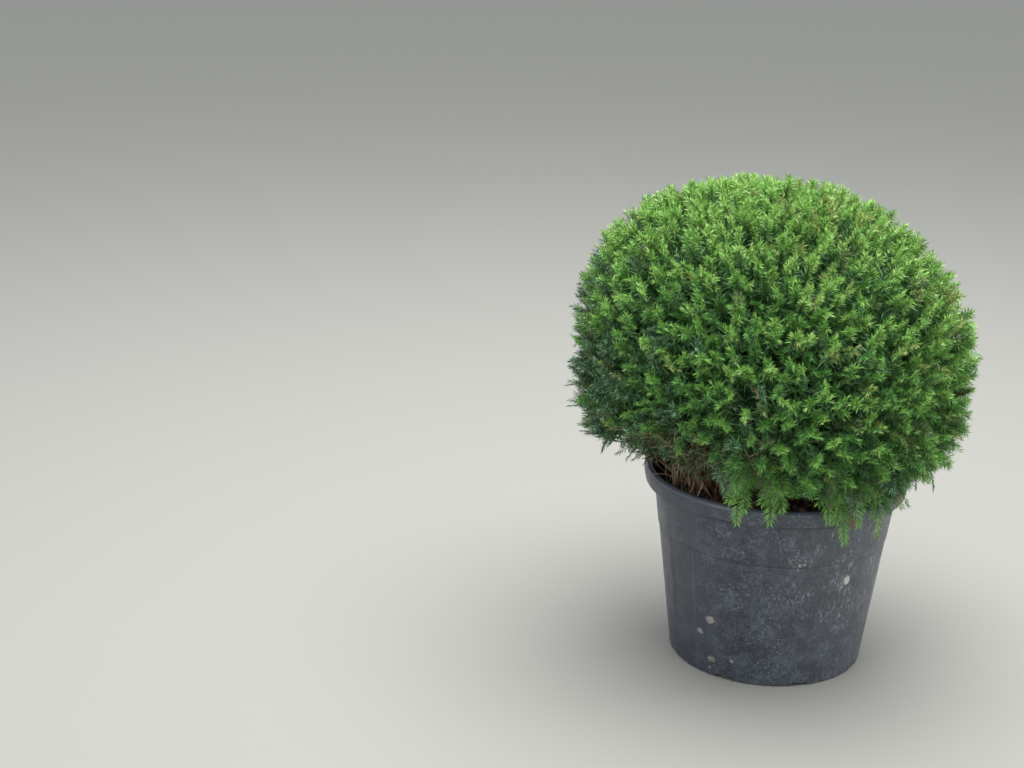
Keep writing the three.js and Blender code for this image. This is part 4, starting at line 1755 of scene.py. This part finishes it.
# Fine twigs, kept inside the outline and clear of the compost and the rim.
def growFineTwigs(paths):
    count = fineTwigs["count"]
    parent = random.randint(0, len(paths), count)
    step = random.randint(1, bareTwigs["rings"] - 1, count)
    start = paths[parent, step]
    run = unit(paths[parent, step + 1] - start)
    way = unit(run + jitter(count, fineTwigs["waver"]) + upwards * fineTwigs["rise"])
    end = start + way * column(between(*fineTwigs["length"], count))
    level = np.hypot(end[:, 0], end[:, 1])
    lowest = np.where(level < fineTwigs["rimRadius"], fineTwigs["overCompost"], fineTwigs["overRim"])
    kept = (depthInside(end) > fineTwigs["depth"]) & (end[:, 2] > lowest)
    start, end, way = start[kept], end[kept], way[kept]
    middle = start * 0.5 + end * 0.5 + jitter(len(start), fineTwigs["bend"])
    fine = [smoothPath(points, fineTwigs["steps"]) for points in zip(start, middle, end)]
    return np.array(fine), way


def growSprigs(paths, ways):
    count = sprigs["count"]
    end = paths[:count, -1]
    way = unit(ways[:count] + jitter(count, sprigs["waver"]))
    tip = end + way * column(between(*sprigs["length"], count))
    facing = squareTo(upwards + jitter(count, sprigs["faceWaver"]), way)
    return {"root": end - way * sprigs["overlap"], "end": tip, "facing": facing, "spray": np.arange(count)}


sprayTwigs = {"reach": 0.8, "bend": 0.008, "steps": 6}


# Twigs that carry the sprays, each from the nearest branch.
def growTwigs(spray, branchPaths):
    carriers = branchPaths.reshape(-1, 3)
    gaps = np.linalg.norm(spray["root"][:, None] - carriers[None], axis=2)
    starts = carriers[np.argmin(gaps, axis=1)]
    ends = spray["root"] + spray["along"] * column(spray["length"] * sprayTwigs["reach"])
    paths = []
    for start, root, end in zip(starts, spray["root"], ends):
        middle = start * 0.5 + root * 0.5 + jitter(1, sprayTwigs["bend"])[0]
        paths.append(smoothPath([start, middle, root, end], sprayTwigs["steps"]))
    return np.array(paths)


# Twigs by kind: radii from foot to tip, or shares of each twig's own radius, then sides and bark
twigKinds = {
    "crown_branches": ([0.0058, 0.0042, 0.0028], 6, "shaded_bark"),
    "crown_twigs": ([0.0021, 0.0016, 0.0009], 3, "olive_bark"),
    "bare_twigs": ([1.15, 0.9, 0.6], 5, "pale_lit_twig"),
    "red_twigs": ([1.15, 0.9, 0.6], 5, "young_bark"),
    "fine_twigs": ([1.1, 0.6], 4, "pale_lit_twig"),
    "stray_twig": ([0.0014, 0.0009], 6, "young_bark"),
    "low_twigs": ([0.0024, 0.0018, 0.0009], 5, "young_bark"),
}
shootStem = {"radii": [0.0010, 0.0004], "sides": 3}


def addTwigs(name, paths, scales=None):
    radii, sides, barkName = twigKinds[name]
    scales = np.ones(len(paths)) if scales is None else scales
    arrays = tubes(paths, np.outer(scales, taper(radii, paths.shape[1])), sides)
    hand(pieceFromArrays(name, *arrays), barks[barkName], "bark", "crown")


def addShootStems(shoots):
    paths = np.stack((shoots["root"], shoots["end"]), axis=1)
    radii = np.tile(shootStem["radii"], (len(paths), 1))
    material = plainSpeckled("green_stem", (0.09, 0.15, 0.035), (0.16, 0.25, 0.06), 90, 0.6)
    arrays = tubes(paths, radii, shootStem["sides"])
    hand(pieceFromArrays("shoot_stems", *arrays), material, "needles", "crown")


# How fresh each shoot is beside its spray, with painted shade darkening it the deeper it ends inside the
# outline,
# and which shoots are dead: a few at random, and one sprig of a low shoot.
def ageShoots(shoots, deadSpray):
    count = len(shoots["root"])
    buried = np.clip(depthInside(shoots["end"]) - shade["depthFrom"], 0.0, shade["depthTo"])
    shoots["lift"] = random.normal(0, shade["shootWaver"], count) - buried * shade["depthLoss"]
    shoots["dead"] = random.rand(count) < shade["deadShoots"]
    shoots["dead"][np.flatnonzero(shoots["spray"] == deadSpray)[1]] = True


# Needles stand all round the shoots at the top, and in flat ranks at the sides and on hanging shoots.
def flatnessOf(shoots, crownShoots):
    height = (shoots["root"][:, 2] - crown["middle"][2]) / crown["rise"]
    flatness = np.interp(height, *needle["flatAt"])
    flatness[crownShoots:] = 1.0
    return flatness


# All shoots in one table, numbered by the spray that they belong to.
def gatherShoots(parts, sprayCounts):
    firsts = np.cumsum([0, *sprayCounts])
    bolds = (1.0, 1.0, lowShoot["bold"], 1.0)
    for part, first, bold in zip(parts, firsts, bolds):
        part["spray"] = part["spray"] + first
        part["bold"] = np.full(len(part["root"]), bold)
    shoots = joined(parts)
    ageShoots(shoots, firsts[2] + lowShoot["withDeadSprig"])
    return shoots


# The needles of each colour. Those on the inner twigs and branches are in shade, and on the bare twigs dull.
def makeNeedles(needles, kinds, twigPaths, branchPaths, barePaths):
    inner = joined([growInnerNeedles(twigPaths, **innerNeedle["onTwigs"]),
                    growInnerNeedles(branchPaths, **innerNeedle["onBranches"])])
    onBareTwigs = growInnerNeedles(barePaths, **innerNeedle["onBareTwigs"])
    for index, name in enumerate(colourNames):
        picked = inner if name == "shade" else {key: needles[key][kinds == index] for key in inner}
        if name == "dull":
            picked = joined([picked, onBareTwigs])
        makeNeedlePieces(name, picked)


def makeTwigs(branchPaths, twigPaths, barePaths, finePaths, lowTwigs):
    scales = between(*bareTwigs["radius"], len(barePaths))
    red = bareTwigs["red"]
    addTwigs("crown_branches", branchPaths)
    addTwigs("crown_twigs", twigPaths)
    addTwigs("bare_twigs", barePaths[red:], scales[red:])
    addTwigs("red_twigs", barePaths[:red], scales[:red])
    addTwigs("fine_twigs", finePaths, between(*fineTwigs["radius"], len(finePaths)))
    addTwigs("stray_twig", smoothPath(strayTwig["points"], strayTwig["steps"])[None])
    addTwigs("low_twigs", lowTwigs)


def makeCrown():
    branchPaths = growBranches()
    spray = growSprays()
    hanging = joined([growHangingSprays(), growLooseSprays()])
    lowTwigs, lowPart = growLowShoots()
    barePaths = growBareTwigs()
    finePaths, fineWays = growFineTwigs(barePaths)
    parts = [growShoots(spray), growHangingShoots(hanging), lowPart, growSprigs(finePaths, fineWays)]
    dealt = dealAll(spray, hanging, lowTwigs[:, -1], finePaths[:sprigs["count"], -1])
    shoots = gatherShoots(parts, [len(spray["root"]), len(hanging["root"]), len(lowTwigs)])
    needles = needlesOn(shoots, flatnessOf(shoots, len(parts[0]["root"])))
    kinds = colourOf(needles, shoots, dealt)
    twigPaths = growTwigs(joined([spray, hanging]), branchPaths)
    makeNeedles(needles, kinds, twigPaths, branchPaths, barePaths)
    makeTwigs(branchPaths, twigPaths, barePaths, finePaths, lowTwigs)
    addShootStems(shoots)


makeCrown()
print("crown ready")


# Fallen needles on the compost

fallen = {
    "count": 900,
    "ring": (0.03, 0.232),
    "above": 0.0015,
    "tilt": 0.15,
    "waver": 0.4,
    "length": (0.012, 0.018),
    "width": (0.002, 0.003),
    "finish": ("fallen_rust", (0.16, 0.07, 0.03), (0.36, 0.17, 0.07), 70, 0.7),
}


def makeFallen(soil):
    tree = BVHTree.FromObject(soil, bpy.context.evaluated_depsgraph_get())
    count = fallen["count"]
    root = settle(scattered(count, *fallen["ring"]), tree) + upwards * fallen["above"]
    way = unit(jitter(count, 1) * (1, 1, fallen["tilt"]))
    blade = squareTo(upwards + jitter(count, fallen["waver"]), way)
    length = between(*fallen["length"], count)
    width = between(*fallen["width"], count)
    piece = pieceFromArrays("fallen_needles", *needleArrays(root, way, blade, length, width))
    hand(piece, plainSpeckled(*fallen["finish"]), "compost")


makeFallen(soil)
print("fallen needles ready")
